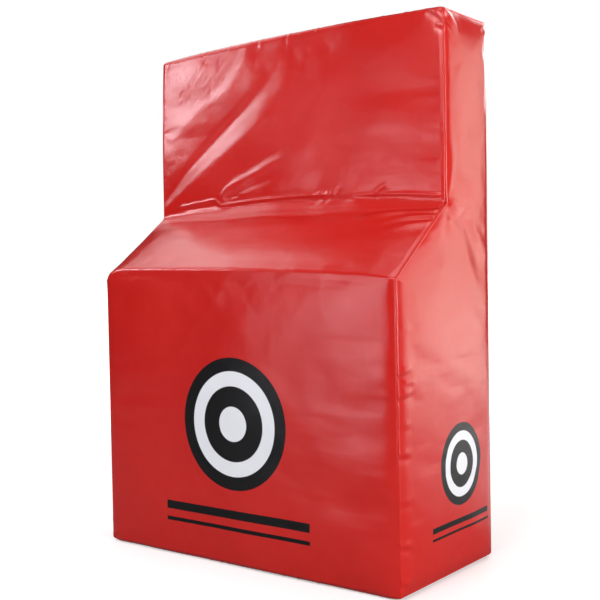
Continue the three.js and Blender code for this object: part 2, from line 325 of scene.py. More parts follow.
def hills(a, b, seed, size, amount, count=26, squash=(1, 1)):
    """Slow random undulation: a fixed sum of plane waves of about that wavelength."""
    g = np.random.default_rng(seed)
    h = np.zeros(np.shape(a))
    for _ in range(count):
        ang = g.uniform(0, 2 * math.pi)
        k = 2 * math.pi / (size * g.uniform(0.7, 1.6))
        h = h + np.sin(k * (a * math.cos(ang) / squash[0] + b * math.sin(ang) / squash[1]) + g.uniform(0, 2 * math.pi))
    return amount * h / math.sqrt(count / 2)


def mesh_grid(name, pos, flip=False):
    """A mesh from a rows by columns array of points, in millimetres."""
    pos = settle(pos)
    rows, cols = pos.shape[:2]
    idx = np.arange(rows * cols).reshape(rows, cols)
    quads = np.stack([idx[:-1, :-1], idx[:-1, 1:], idx[1:, 1:], idx[1:, :-1]], -1).reshape(-1, 4)
    if flip:
        quads = quads[:, ::-1]
    me = bpy.data.meshes.new(name)
    me.vertices.add(rows * cols)
    me.vertices.foreach_set("co", (pos.reshape(-1, 3) * MM).astype(np.float32).ravel())
    me.loops.add(len(quads) * 4)
    me.loops.foreach_set("vertex_index", quads.ravel().astype(np.int32))
    me.polygons.add(len(quads))
    me.polygons.foreach_set("loop_start", (np.arange(len(quads)) * 4).astype(np.int32))
    me.update(calc_edges=True)
    me.validate()
    me.polygons.foreach_set("use_smooth", np.ones(len(quads), bool))
    ob = bpy.data.objects.new(name, me)
    bpy.context.scene.collection.objects.link(ob)
    return ob


def punch(ob, centres, radius):
    """Opens holes through a panel of the back for its eyelets."""
    bm = bmesh.new()
    bm.from_mesh(ob.data)
    gone = []
    for f in bm.faces:
        c = f.calc_center_median() / MM
        if abs(f.normal.y) > 0.8 and any(math.hypot(c.x - x, c.z - z) < radius for x, z in centres):
            gone.append(f)
    bmesh.ops.delete(bm, geom=gone, context="FACES")
    bm.to_mesh(ob.data)
    bm.free()


# ---------------------------------------------------------------- folds and creases

def pucker(edge, inward, length, skew=0.0, w=(2.4, 4.5), amp=1.0, kind="lip", start=0.5):
    """A short crease that runs into a panel from its seam. edge and inward are in surface coordinates."""
    e, n = np.array(edge, float), np.array(inward, float)
    side = np.array([-n[1], n[0]])
    pts = [e + n * start, e + n * length * 0.45 + side * skew * 0.3, e + n * length + side * skew]
    return {"pts": pts, "w": w, "amp": amp, "kind": kind, "ends": (0.0, 0.75)}


FRONT_FOLDS = [
    # two long folds that fan out of the left end of the step
    {"pts": [U(-278, 539), U(-218, 578), U(-156, 613), U(-104, 642), U(-60, 670), U(-25, 700), U(10, 730)], "w": (3.5, 24), "amp": 3.0, "grow": True, "kind": "bankl", "ends": (0.0, 0.5)},
    {"pts": [U(-277, 550), U(-217, 604), U(-162, 644), U(-110, 680), U(-73, 704), U(-41, 727), U(-4, 757)], "w": (4, 13), "amp": -2.0, "grow": True, "kind": "ridge", "ends": (0.05, 0.4)},
    {"pts": [U(-264, 633), U(-247, 659), U(-191, 700), U(-134, 722), U(-100, 750), U(-81, 777), U(-70, 801)], "w": (11, 16), "amp": 1.5, "kind": "bankl", "ends": (0.45, 0.1)},
    {"pts": [U(-142, 552), U(-131, 568), U(-112, 578), U(-76, 589), U(-41, 602), U(0, 615), U(42, 625)], "w": (3.0, 11), "amp": 2.4, "grow": True, "kind": "bankl", "ends": (0.02, 0.6)},
    {"pts": [U(-136, 548), U(-120, 556), U(-96, 566), U(-55, 579), U(2, 591)], "w": (3.5, 9), "amp": -1.3, "kind": "ridge", "ends": (0.1, 0.6)},
    # fine creases in the upper left part
    {"pts": [U(-128, 789), U(-146, 771), U(-168, 750), U(-184, 736)], "w": (2.2, 3.0), "amp": 0.11, "kind": "pair", "ends": (0.2, 0.5)},
    {"pts": [U(-108, 794), U(-122, 779), U(-136, 766)], "w": (2.0, 2.8), "amp": 0.10, "kind": "pair", "ends": (0.2, 0.5)},
    {"pts": [U(-155, 788), U(-180, 768), U(-206, 742), U(-222, 722)], "w": (2.2, 3.0), "amp": 0.10, "kind": "pair", "ends": (0.2, 0.5)},
    {"pts": [U(-92, 786), U(-110, 762), U(-128, 746)], "w": (2.2, 3.0), "amp": 0.08, "kind": "pair", "ends": (0.3, 0.5)},
    {"pts": [U(-190, 742), U(-206, 728), U(-224, 706)], "w": (2.2, 3.0), "amp": 0.07, "kind": "pair", "ends": (0.3, 0.5)},
    {"pts": [U(-262, 657), U(-232, 664), U(-206, 669), U(-180, 678)], "w": (5, 8), "amp": 0.12, "kind": "pair", "ends": (0.3, 0.5)},
    {"pts": [U(-250, 632), U(-226, 640), U(-204, 652)], "w": (5, 8), "amp": 0.10, "kind": "pair", "ends": (0.3, 0.5)},
    # the crease along the foot of the upper face
    {"pts": [U(-242, 546), U(-228, 547.5), U(-215, 548), U(-198, 550.5), U(-182, 551), U(-162, 554), U(-150, 553)], "w": (1.9, 2.4), "amp": 1.1, "kind": "ridge", "ends": (0.2, 0.05)},
    {"pts": [U(-154, 554), U(-148, 549), U(-142, 544), U(-122, 545.5), U(-102, 547), U(-56, 549), U(1, 550), U(40, 550.5), U(79, 550), U(134, 548)], "w": (2.1, 2.9), "amp": 1.7, "kind": "ridge", "ends": (0.03, 0.4)},
    {"pts": [U(-230, 539), U(-180, 543), U(-150, 545)], "w": (4, 5), "amp": -0.6, "kind": "ridge", "ends": (0.2, 0.1)},
    {"pts": [U(-146, 537), U(-102, 540), U(-56, 542), U(1, 543), U(79, 543), U(134, 541)], "w": (4, 6), "amp": -1.0, "kind": "ridge", "ends": (0.1, 0.4)},
    {"pts": [U(42, 539), U(56, 546), U(70, 557)], "w": (3.4, 2.8), "amp": 0.95, "kind": "pair", "ends": (0.2, 0.4)},
    {"pts": [U(62, 540), U(74, 547), U(84, 558)], "w": (3.2, 2.8), "amp": 0.75, "kind": "pair", "ends": (0.2, 0.4)},
    {"pts": [U(84, 551), U(98, 561)], "w": (3.4, 2.8), "amp": 0.6, "kind": "pair", "ends": (0.3, 0.4)},
    {"pts": [U(156, 540), U(166, 548), U(186, 560)], "w": (3.4, 2.8), "amp": 0.9, "kind": "pair", "ends": (0.1, 0.4)},
    {"pts": [U(108, 548), U(170, 546), U(237, 542), U(274, 538)], "w": (2.8, 2.4), "amp": 1.3, "kind": "ridge", "ends": (0.3, 0.05)},
    # curved wrinkles on the slope near its right end
    {"pts": [S(276, 0.915), S(234, 0.91), S(192, 0.90), S(163, 0.85), S(132, 0.75)], "w": (5.5, 11), "amp": 2.9, "kind": "pair", "ends": (0.05, 0.6)},
    {"pts": [S(276, 0.84), S(248, 0.83), S(218, 0.80), S(182, 0.74)], "w": (5.0, 10), "amp": 2.2, "kind": "pair", "ends": (0.05, 0.6)},
    {"pts": [S(276, 0.76), S(250, 0.73), S(222, 0.68), S(196, 0.60)], "w": (5.0, 10), "amp": 1.5, "kind": "pair", "ends": (0.05, 0.6)},
    # bunched cover at the upper right corner
    {"pts": [U(252, 798), U(267, 789), U(276, 779)], "w": (2.2, 3.0), "amp": 1.5, "kind": "pair", "ends": (0.2, 0.1)},
    {"pts": [U(262, 800), U(273, 793), U(277, 786)], "w": (1.8, 2.2), "amp": 1.1, "kind": "pair", "ends": (0.2, 0.2)},
    {"pts": [U(264, 776), U(277, 771)], "w": (2, 3), "amp": 1.0, "kind": "pair", "ends": (0.2, 0.1)},
    # lower left corner
    {"pts": [L(-276, 4), L(-265, 12), L(-250, 19)], "w": (3.2, 5), "amp": 1.4, "kind": "pair", "ends": (0.05, 0.6)},
    {"pts": [L(-277, 30), L(-262, 33), L(-246, 31)], "w": (3.2, 5), "amp": 0.8, "kind": "pair", "ends": (0.05, 0.6)},
    # the convex edge waves a little
    {"pts": [L(-270, 421), L(-170, 418), L(-120, 421)], "w": (9, 12), "amp": -0.5, "kind": "ridge", "ends": (0.3, 0.3)},
]

SIDE_FOLDS = [
    {"pts": [(-129, 297), (-114, 300), (-97, 305)], "w": (3.2, 4.6), "amp": 1.3, "kind": "pair", "ends": (0.0, 0.6)},
    {"pts": [(-129, 267), (-112, 270), (-90, 276)], "w": (3.2, 4.6), "amp": 1.25, "kind": "pair", "ends": (0.0, 0.6)},
    {"pts": [(-120, 283), (-104, 284), (-88, 280)], "w": (3.4, 4.6), "amp": 0.5, "kind": "pair", "ends": (0.2, 0.6)},
    {"pts": [(-129, 229), (-112, 228), (-98, 230)], "w": (3.4, 4.6), "amp": 0.5, "kind": "pair", "ends": (0.0, 0.7)},
    {"pts": [(-129, 191), (-112, 190), (-98, 192)], "w": (3.6, 5.4), "amp": 1.1, "kind": "pair", "ends": (0.0, 0.7)},
    {"pts": [(-129, 128), (-112, 127), (-98, 130)], "w": (3.4, 4.6), "amp": 0.55, "kind": "pair", "ends": (0.0, 0.7)},
    {"pts": [(-129, 70), (-113, 68), (-96, 62)], "w": (3.6, 5.4), "amp": 1.2, "kind": "pair", "ends": (0.0, 0.7)},
    {"pts": [(-129, 22), (-112, 17), (-96, 15)], "w": (3.6, 4.8), "amp": 1.0, "kind": "pair", "ends": (0.0, 0.7)},
    {"pts": [(-129, 352), (-114, 355), (-100, 359)], "w": (3.6, 5.0), "amp": 0.5, "kind": "pair", "ends": (0.0, 0.7)},
    {"pts": [(0, 529), (20, 526), (49, 523), (82, 526)], "w": (7.5, 11), "amp": 2.5, "kind": "ridge", "ends": (0.0, 0.6)},
    {"pts": [(0, 514), (30, 504), (66, 497)], "w": (8, 13), "amp": -1.8, "kind": "ridge", "ends": (0.05, 0.6)},
    {"pts": [(62, 503), (92, 478), (126, 441)], "w": (7, 14), "amp": 1.4, "kind": "ridge", "ends": (0.3, 0.25)},
    {"pts": [(44, 492), (72, 464), (104, 424)], "w": (7, 14), "amp": -1.1, "kind": "ridge", "ends": (0.3, 0.4)},
    {"pts": [(36, 470), (60, 440), (84, 400)], "w": (7, 14), "amp": 0.8, "kind": "ridge", "ends": (0.3, 0.4)},
    {"pts": [(3, 534), (12, 550), (18, 584), (17, 640)], "w": (4, 7), "amp": 1.1, "kind": "ridge", "ends": (0.05, 0.5)},
    {"pts": [(2, 518), (-6, 498), (-10, 468)], "w": (6, 13), "amp": -0.9, "kind": "ridge", "ends": (0.05, 0.6)},
    {"pts": [(126, 790), (114, 781), (104, 778)], "w": (2.4, 4), "amp": 1.3, "kind": "pair", "ends": (0.0, 0.6)},
    {"pts": [(6, 792), (22, 777), (30, 762)], "w": (3, 5), "amp": 1.3, "kind": "pair", "ends": (0.0, 0.6)},
    {"pts": [(5, 770), (22, 764)], "w": (3, 5), "amp": 0.8, "kind": "pair", "ends": (0.0, 0.6)},
]


def random_puckers(seed, edge_of, inward_of, spans, spacing, amount):
    """Small creases at irregular steps along a seam."""
    g = np.random.default_rng(seed)
    out = []
    for a, b in spans:
        s = a + g.uniform(0.2, 1.0) * spacing
        while s < b:
            out.append(pucker(edge_of(s), inward_of(s), g.uniform(9, 30), g.uniform(-5, 5), (g.uniform(1.5, 2.4), g.uniform(2.6, 4.6)),
                              amount * g.uniform(0.35, 1.0), ("lip", "lipr", "pair")[int(g.integers(3))]))
            s += spacing * g.uniform(0.45, 1.7)
    return out


# a scatter of fine scratches of creasing in the upper left part
_g = np.random.default_rng(77)
for _ in range(38):
    _x, _z = _g.uniform(-245, -75), _g.uniform(672, 796)
    if (_x + 277) + (800 - _z) > 250:
        continue
    _l, _a = _g.uniform(9, 24), math.radians(_g.uniform(38, 68))
    FRONT_FOLDS.append({"pts": [U(_x, _z), U(_x + _l * 0.5 * math.cos(_a) + _g.uniform(-1.5, 1.5), _z + _l * 0.5 * math.sin(_a)), U(_x + _l * math.cos(_a), min(797, _z + _l * math.sin(_a)))],
                        "w": (1.6, 2.4), "amp": _g.uniform(0.07, 0.17), "kind": "pair", "ends": (0.3, 0.4)})

# the front strip's side seams
FRONT_FOLDS += random_puckers(11, lambda s: (X_EDGE, s), lambda s: (-1, 0), [(TAU_C[0] + 8, TAU_C[1] - 12), (TAU_C[2] + 30, TAU_C[3] - 12)], 46, 0.35)
FRONT_FOLDS += random_puckers(12, lambda s: (-X_EDGE, s), lambda s: (1, 0), [(TAU_C[0] + 8, TAU_C[1] - 12), (TAU_C[2] + 30, TAU_C[3] - 12)], 40, 0.28)
FRONT_FOLDS += random_puckers(13, lambda s: (s, T_BOTTOM_FRONT), lambda s: (0, 1), [(-262, 262)], 26, 0.8)
FRONT_FOLDS += random_puckers(14, lambda s: (s, T_TOP_FRONT), lambda s: (0, -1), [(-262, 262)], 40, 0.45)

TOP_FOLDS = random_puckers(21, lambda s: (s, T_TOP_FRONT), lambda s: (0, 1), [(-262, 262)], 34, 0.7)
TOP_FOLDS += random_puckers(22, lambda s: (s, T_TOP_BACK), lambda s: (0, -1), [(-262, 262)], 30, 0.8)
TOP_FOLDS += random_puckers(23, lambda s: (X_EDGE, s), lambda s: (-1, 0), [(T_TOP_FRONT + 10, T_TOP_BACK - 10)], 26, 0.8)
TOP_FOLDS += random_puckers(24, lambda s: (-X_EDGE, s), lambda s: (1, 0), [(T_TOP_FRONT + 10, T_TOP_BACK - 10)], 26, 0.8)

BACK_FOLDS = random_puckers(31, lambda s: (s, T_TOP_BACK), lambda s: (0, 1), [(-262, 262)], 30, 0.9)
BACK_FOLDS += random_puckers(32, lambda s: (X_EDGE, s), lambda s: (-1, 0), [(T_TOP_BACK + 10, T_ZIP_HI - 10)], 34, 0.9)
BACK_FOLDS += random_puckers(33, lambda s: (-X_EDGE, s), lambda s: (1, 0), [(T_TOP_BACK + 10, T_ZIP_HI - 10)], 34, 0.9)
BACK_FOLDS += random_puckers(34, lambda s: (s, T_ZIP_HI), lambda s: (0, -1), [(-250, 250)], 38, 0.5)
BACK_FOLDS += random_puckers(35, lambda s: (s, T_ZIP_LO), lambda s: (0, 1), [(-250, 250)], 38, 0.5)
BACK_FOLDS += random_puckers(36, lambda s: (s, T_BACK_BOTTOM), lambda s: (0, -1), [(-262, 262)], 30, 0.8)


# ---------------------------------------------------------------- the back's flat places

BAND_BOXES = [box_mm("reinforcement_band_lower"), box_mm("reinforcement_band_upper")]
VENT_NODES = sorted(n for n in frame["nodes"] if n.startswith("vent_eyelet_"))
VENT_AT = [tuple((box_mm(n)[0] + box_mm(n)[1])[[0, 2]] / 2) for n in VENT_NODES]


def hold_flat(x, z):
    """1 where sewn-on parts keep the back cover flat, falling to 0 away from them."""
    m = np.zeros(np.shape(x))
    for lo, hi in BAND_BOXES:
        dx = np.maximum(np.abs(x) - (hi[0] + 1), 0)
        dz = np.maximum(np.maximum(lo[2] - 1 - z, z - hi[2] - 1), 0)
        m = np.maximum(m, 1 - smooth(np.hypot(dx, dz), 0, 26))
    m = np.maximum(m, 1 - smooth(np.abs(z - (ZIP_LO + ZIP_HI) / 2), 17, 44))
    for vx, vz in VENT_AT:
        m = np.maximum(m, 1 - smooth(np.hypot(x - vx, z - vz), 9, 26))
    return m


def band_pull(x, z):
    """The small valley that stitching presses along the edges of the bands, patches and hems."""
    d = np.full(np.shape(x), 99.0)
    for lo, hi in BAND_BOXES:
        dx = np.abs(x) - hi[0]
        dz = np.maximum(lo[2] - z, z - hi[2])
        d = np.minimum(d, np.abs(np.maximum(dx, dz)) + 0 * x)
    return np.exp(-(d / 3.0) ** 2)


# ---------------------------------------------------------------- the strips that wrap the section

def bridge(x):
    """How strongly the cover spans the step's inner corner, from 0 at the seams to 1 in the middle."""
    keys_x = [-277, -250, -225, -160, -60, 40, 110, 170, 235, 277]
    keys_v = [0.0, 0.45, 0.62, 0.95, 1.0, 1.0, 0.86, 0.62, 0.34, 0.0]
    fine = np.linspace(-277, 277, 400)
    v = np.interp(fine, keys_x, keys_v)
    k = np.hanning(41); k /= k.sum()
    v = np.convolve(np.pad(v, 20, mode="edge"), k, mode="valid")
    return np.interp(x, fine, v)


CROWN_T = [T_BOTTOM_FRONT, TAU_C[0] + 14, TAU_C[0] + 60, TAU_C[0] + 220, TAU_C[1] - 60, TAU_C[1] - 12, TAU_C[1] + 10, TAU_C[1] + 30, TAU_C[1] + 72, TAU_C[1] + 120, TAU_C[2] - 40,
           TAU_C[2] + 10, TAU_C[2] + 60, TAU_C[2] + 150, TAU_C[3] - 50, TAU_C[3], T_TOP_FRONT, TAU_C[3] + 60, TAU_C[4] - 30, T_TOP_BACK,
           TAU_C[4] + 40, TAU_C[4] + 400, T_ZIP_HI - 40, T_ZIP_HI, T_ZIP_LO, T_BACK_BOTTOM, TAU_C[5] + 30, TAU_C[6] - 30, T_BOTTOM_FRONT + TOTAL]
CROWN_V = [0.0, 2.2, 3.4, 3.6, 3.2, 3.0, 3.2, 3.4, 3.8, 3.6, 2.6,
           0.5, 1.6, 2.6, 3.0, 4.0, 3.6, 4.6, 3.0, 1.6,
           1.4, 1.6, 1.0, 0.3, 0.2, 0.0, 0.0, 0.0, 0.0]
_ft = np.linspace(CROWN_T[0], CROWN_T[-1], 3000)
_fv = np.interp(_ft, CROWN_T, CROWN_V)
_k = np.hanning(41); _k /= _k.sum()
_fv = np.convolve(np.pad(_fv, 20, mode="edge"), _k, mode="valid")


BROW_X = [-277, -268, -255, -235, -200, -87, -6, 94, 166, 235, 262, 277]
BROW_UP = [0.0, 9.0, 15.0, 17.5, 17.5, 15.5, 14.0, 11.4, 9.4, 5.6, 2.0, 0.0]


def brow(x, t):
    """How far the top of the full lower face rides up between its corners; the slope is less steep behind it."""
    u = t - TAU_C[1]
    share = np.where(u < 0, smooth(u, -120, 0), 1 - np.clip(u / (LEGS[1] - 14), 0, 1))
    fine = np.linspace(-277, 277, 300)
    up = np.interp(fine, BROW_X, BROW_UP)
    k = np.hanning(9)
    up = np.convolve(np.pad(up, 4, mode="edge"), k / k.sum(), mode="valid") * np.clip((277 - np.abs(fine)) / 5, 0, 1)
    return np.interp(x, fine, up) * share * (t < TAU_C[2])


def seam_fall(s, reach, power=2.4):
    return np.clip(1 - np.maximum(s, 0) / reach, 0, 1) ** power


def wrap_radii(x):
    w = bridge(x)
    e = np.clip((X_EDGE - np.abs(x)) / 60, 0, 1)
    e = e * e * (3 - 2 * e)
    r = EDGE_RADII
    return [r[0] + 2 * e, r[1] + 2 * e, r[2] + 38 * w, r[3] + 1 * e, r[4], r[5]]


def wrap_surface(x, t, ends, folds, sim=None):
    """Points of a wrap panel at across x and along t. ends are its first and last seams."""
    p, n = section(t, wrap_radii(x))
    if ends[0] == T_BOTTOM_FRONT:
        p = p + np.stack([np.zeros(x.shape), brow(x, t)], -1)
    edge = X_EDGE - np.abs(x)
    a = seam_fall(edge, seam_reach(t))
    first, last = t - ends[0], ends[1] - t
    b = np.maximum(seam_fall(first, 9.0, 2.0), seam_fall(last, 9.0, 2.0))
    fixed = -seam_depth(t) * a - CROSS_IN * b * (1 - a) + np.maximum(bead(edge), np.maximum(bead(first), bead(last)) * 0.7)
    h = fixed + 0
    across = 1 - np.clip(np.abs(x) / X_EDGE, 0, 1) ** 2.4
    tt = np.where(t < CROWN_T[0], t + TOTAL, t)
    inner = (1 - a) * (1 - b)
    h = h + np.interp(tt, _ft, _fv) * across
    h = h + inner * (hills(x, t, 5, 150, 0.55) + hills(x, t, 6, 60, 0.12) + hills(x, t, 7, 24, 0.03))
    for f in folds:
        h = h + fold_height(x, t, f) * (1 - 0.6 * a)
    loose = np.ones(x.shape)
    if ends[1] > TAU_C[4] + 60 and ends[0] < TAU_C[5] - 20:
        on_back = (n[..., 0] > 0.99)
        flat = hold_flat(x, p[..., 1]) * on_back
        h = np.where(on_back, fixed + (h - fixed) * (1 - flat) - 0.45 * band_pull(x, p[..., 1]) * inner, h)
        loose = 1 - flat
    if sim is not None:
        h = h + sim(x, tt) * loose * inner ** 0.5
    out = np.stack([x, p[..., 0] + n[..., 0] * h, p[..., 1] + n[..., 1] * h], -1)
    out[..., 2] = np.maximum(out[..., 2], 0.15)
    return out, n


LIP = [(0.22, 0.5), (0.0, 1.3), (-1.6, 3.0), (-3.0, 4.6)]


def wrap_panel(name, ends, xs, ts, folds, hem=(False, False), sim=None):
    """A panel with its edges turned in at the seams."""
    X, T = np.meshgrid(xs, ts)
    pos, n = wrap_surface(X, T, ends, folds, sim)
    rows, cols = X.shape
    nl = len(LIP)
    full = np.zeros((rows + 2 * nl, cols + 2 * nl, 3))
    full[nl:-nl, nl:-nl] = pos
    n3 = np.zeros((rows + 2 * nl, cols + 2 * nl, 3))
    n3[nl:-nl, nl:-nl, 1:] = n
    for k in range(nl):
        i, j = nl - 1 - k, rows + nl + k
        for row, src, nxt, is_hem in ((i, nl, nl + 1, hem[0]), (j, rows + nl - 1, rows + nl - 2, hem[1])):
            d = full[src, nl:-nl] - full[nxt, nl:-nl]
            d /= np.linalg.norm(d, axis=1)[:, None]
            o, dep = LIP[k] if not is_hem else [(0.35, 0.45), (0.05, 0.95), (-5.0, 1.15), (-9.0, 1.2)][k]
            full[row, nl:-nl] = full[src, nl:-nl] + d * o - n3[src, nl:-nl] * dep
            n3[row, nl:-nl] = n3[src, nl:-nl]
    for k in range(nl):
        i, j = nl - 1 - k, cols + nl + k
        for col, src, sgn in ((i, nl, -1), (j, cols + nl - 1, 1)):
            o, dep = LIP[k]
            full[:, col] = full[:, src] + np.array([sgn * (o - 0.35), 0, 0]) - n3[:, src] * dep
            n3[:, col] = n3[:, src]
    full[..., 2] = np.maximum(full[..., 2], 0.15)
    return mesh_grid(name, full, flip=False)


# ---------------------------------------------------------------- the side panels

def side_outline(step=1.2):
    """The seam that bounds a side panel, pulled in from the section: points, in-plane outward normals."""
    t = np.arange(0, TOTAL, step)
    p, n = section(t, EDGE_RADII)
    return p - n * seam_depth(t)[:, None], n, t


SIDE_LINE, SIDE_NORMAL, SIDE_TAU = side_outline()


def side_rows(zs):
    """Front and back ends of the panel at each height, with the outline's normal there."""
    dense, dn, _ = side_outline(0.25)
    y, z = dense[:, 0], dense[:, 1]
    n_front = int(np.argmax(z > HEIGHT - 3.2)) if (z > HEIGHT - 3.2).any() else len(z) // 2
    top = np.argmax(z)
    front = slice(0, top + 1)
    zf, yf, nf = z[front], y[front], dn[front]
    order = np.argsort(zf, kind="stable")
    t_back = np.arange(TAU_C[4] - 14, TAU_C[5] + 14, 0.25)
    pb, nb = section(t_back, EDGE_RADII)
    pb = pb - nb * seam_depth(t_back)[:, None]
    ob = np.argsort(pb[:, 1], kind="stable")
    out = {}
    out["yf"] = np.interp(zs, zf[order], yf[order])
    out["nf"] = np.stack([np.interp(zs, zf[order], nf[order, k]) for k in (0, 1)], -1)
    out["yb"] = np.interp(zs, pb[ob, 1], pb[ob, 0])
    out["nb"] = np.stack([np.interp(zs, pb[ob, 1], nb[ob, k]) for k in (0, 1)], -1)
    return out


def outline_distance(y, z):
    flat = np.stack([y.ravel(), z.ravel()], -1)
    best = np.full(len(flat), 1e9)
    a = SIDE_LINE
    b = np.roll(SIDE_LINE, -1, axis=0)
    near = np.linalg.norm
    for i0 in range(0, len(flat), 6000):
        f = flat[i0:i0 + 6000]
        d2 = ((f[:, None, :] - a[None]) ** 2).sum(-1)
        k = d2.argmin(1)
        out = np.sqrt(d2[np.arange(len(f)), k])
        for s0, s1 in ((a[k], b[k]), (np.roll(a, 1, axis=0)[k], a[k])):
            v = s1 - s0
            u = np.clip(((f - s0) * v).sum(1) / np.maximum((v * v).sum(1), 1e-9), 0, 1)
            out = np.minimum(out, near(f - s0 - u[:, None] * v, axis=1))
        best[i0:i0 + 6000] = out
    return best.reshape(y.shape)


def side_surface(y, z, sign, folds, seed, sim=None, q=None):
    s = outline_distance(y, z)
    upper = smooth(z, Z_STEP - 10, Z_STEP + 60)
    a = seam_fall(s, SIDE_REACH - 8.0 * upper, 2.6)
    crown = 1 - np.exp(-s / 38.0)
    h = -SEAM_IN * a + 3.0 * crown * (1 - a) + bead(s) * 1.2
    h = h + (1 - a) * (hills(y, z, seed, 150, 0.5) + hills(y, z, seed + 1, 55, 0.12) + hills(y, z, seed + 2, 24, 0.03))
    for f in folds:
        h = h + fold_height(y, z, f) * (1 - 0.5 * a)
    if sim is not None:
        h = h + sim(q, z) * (1 - a) ** 0.5
    return np.stack([sign * (SIDE_X + PROUD + h), y, z], -1)


def side_panel(name, sign, folds, seed, sim=None):
    z0, z1 = float(SIDE_LINE[:, 1].min()) + 0.35, float(SIDE_LINE[:, 1].max()) - 0.35
    zs = spaced(z0, z1, 2.9, [(z0, 18, 0.45), (z1, 18, 0.45), (Z_FACE + 2, 40, 1.5), (Z_STEP, 50, 1.3), (345, 30, 1.6), (289, 14, 1.6), (191, 14, 1.6), (68, 14, 1.6), (18, 14, 1.4)])
    ends = side_rows(zs)
    yf = ends["yf"] + 0.35
    yb = ends["yb"] - 0.35
    front = spaced(0, 46, 2.4, [(0, 16, 0.55)])
    rear = 30 - spaced(0, 30, 2.6, [(0, 14, 0.6)])[::-1]
    n_mid = 52
    width = yb - yf
    cols = []
    for w in width:
        k = min(1.0, w / 120)
        mid = np.linspace(front[-1] * k, w - 30 * k, n_mid + 1)[1:-1]
        cols.append(np.concatenate([front * k, mid, w - 30 * k + rear * k]))
    Q = np.array(cols)
    Y = yf[:, None] + Q
    Z = np.repeat(zs[:, None], Q.shape[1], 1)
    pos = side_surface(Y, Z, sign, folds, seed, sim, Q / width[:, None])
    rows, ncol = Y.shape
    nl = len(LIP)
    full = np.zeros((rows + 2 * nl, ncol + 2 * nl, 3))
    full[nl:-nl, nl:-nl] = pos
    for k in range(nl):
        o, dep = LIP[k]
        i, j = nl - 1 - k, ncol + nl + k
        for col, src, nn in ((i, nl, ends["nf"]), (j, ncol + nl - 1, ends["nb"])):
            full[nl:-nl, col] = full[nl:-nl, src]
            full[nl:-nl, col, 1:] += nn * (o - 0.0)
            full[nl:-nl, col, 0] -= sign * dep
    for k in range(nl):
        o, dep = LIP[k]
        i, j = nl - 1 - k, rows + nl + k
        for row, src, dz in ((i, nl, -1), (j, rows + nl - 1, 1)):
            full[row] = full[src]
            full[row, :, 2] += dz * o
            full[row, :, 0] -= sign * dep
    return mesh_grid(name, full, flip=(sign < 0))


# ---------------------------------------------------------------- materials

class Nodes:
    """Builds a material's node tree with little typing."""

    def __init__(self, name):
        self.mat = bpy.data.materials.new(name)
        self.mat.use_nodes = True
        self.tree = self.mat.node_tree
        self.bsdf = self.tree.nodes["Principled BSDF"]
        self.coord = self.tree.nodes.new("ShaderNodeTexCoord")
        self.at = self.coord.outputs["Object"]

    def link(self, a, b):
        self.tree.links.new(a, b)

    def put(self, socket, value):
        if hasattr(value, "is_linked") or isinstance(value, bpy.types.NodeSocket):
            self.link(value, socket)
        else:
            socket.default_value = value

    def math(self, op, a, b=0.0, c=0.0, clamp=False):
        n = self.tree.nodes.new("ShaderNodeMath")
        n.operation = op
        n.use_clamp = clamp
        for s, v in zip(n.inputs, (a, b, c)):
            self.put(s, v)
        return n.outputs[0]

    def noise(self, scale, detail=2.0, rough=0.5, at=None, distortion=0.0):
        n = self.tree.nodes.new("ShaderNodeTexNoise")
        self.put(n.inputs["Vector"], at or self.at)
        n.inputs["Scale"].default_value = scale
        n.inputs["Detail"].default_value = detail
        n.inputs["Roughness"].default_value = rough
        n.inputs["Distortion"].default_value = distortion
        return n.outputs["Fac"]

    def voronoi(self, scale, feature="F1", at=None):
        n = self.tree.nodes.new("ShaderNodeTexVoronoi")
        n.feature = feature
        self.put(n.inputs["Vector"], at or self.at)
        n.inputs["Scale"].default_value = scale
        return n.outputs["Distance"]

    def wave(self, scale, axis, at=None, distortion=0.0, profile="SIN"):
        n = self.tree.nodes.new("ShaderNodeTexWave")
        n.bands_direction = axis
        n.wave_profile = profile
        self.put(n.inputs["Vector"], at or self.at)
        n.inputs["Scale"].default_value = scale
        n.inputs["Distortion"].default_value = distortion
        return n.outputs["Fac"]

    def ramp(self, value, a, b, lo=0.0, hi=1.0, smoothly=True):
        n = self.tree.nodes.new("ShaderNodeMapRange")
        n.interpolation_type = "SMOOTHSTEP" if smoothly else "LINEAR"
        n.clamp = True
        for i, v in zip((0, 1, 2, 3, 4), (value, a, b, lo, hi)):
            self.put(n.inputs[i], v)
        return n.outputs[0]

    def mix(self, fac, a, b):
        n = self.tree.nodes.new("ShaderNodeMix")
        n.data_type = "RGBA"
        self.put(n.inputs[0], fac)
        for i, v in ((6, a), (7, b)):
            self.put(n.inputs[i], (*v, 1.0) if isinstance(v, tuple) and len(v) == 3 else v)
        return n.outputs[2]

    def split(self):
        n = self.tree.nodes.new("ShaderNodeSeparateXYZ")
        self.link(self.at, n.inputs[0])
        return n.outputs

    def bump(self, height, strength, distance, normal=None):
        n = self.tree.nodes.new("ShaderNodeBump")
        n.inputs["Strength"].default_value = strength
        n.inputs["Distance"].default_value = distance
        self.link(height, n.inputs["Height"])
        if normal is not None:
            self.link(normal, n.inputs["Normal"])
        return n.outputs[0]

    def set(self, **values):
        for k, v in values.items():
            self.put(self.bsdf.inputs[k.replace("_", " ")], (*v, 1.0) if isinstance(v, tuple) and len(v) == 3 else v)
        return self.mat


RED_DEEP = (0.520, 0.0105, 0.0080)
RED_LIGHT = (0.585, 0.0170, 0.0125)


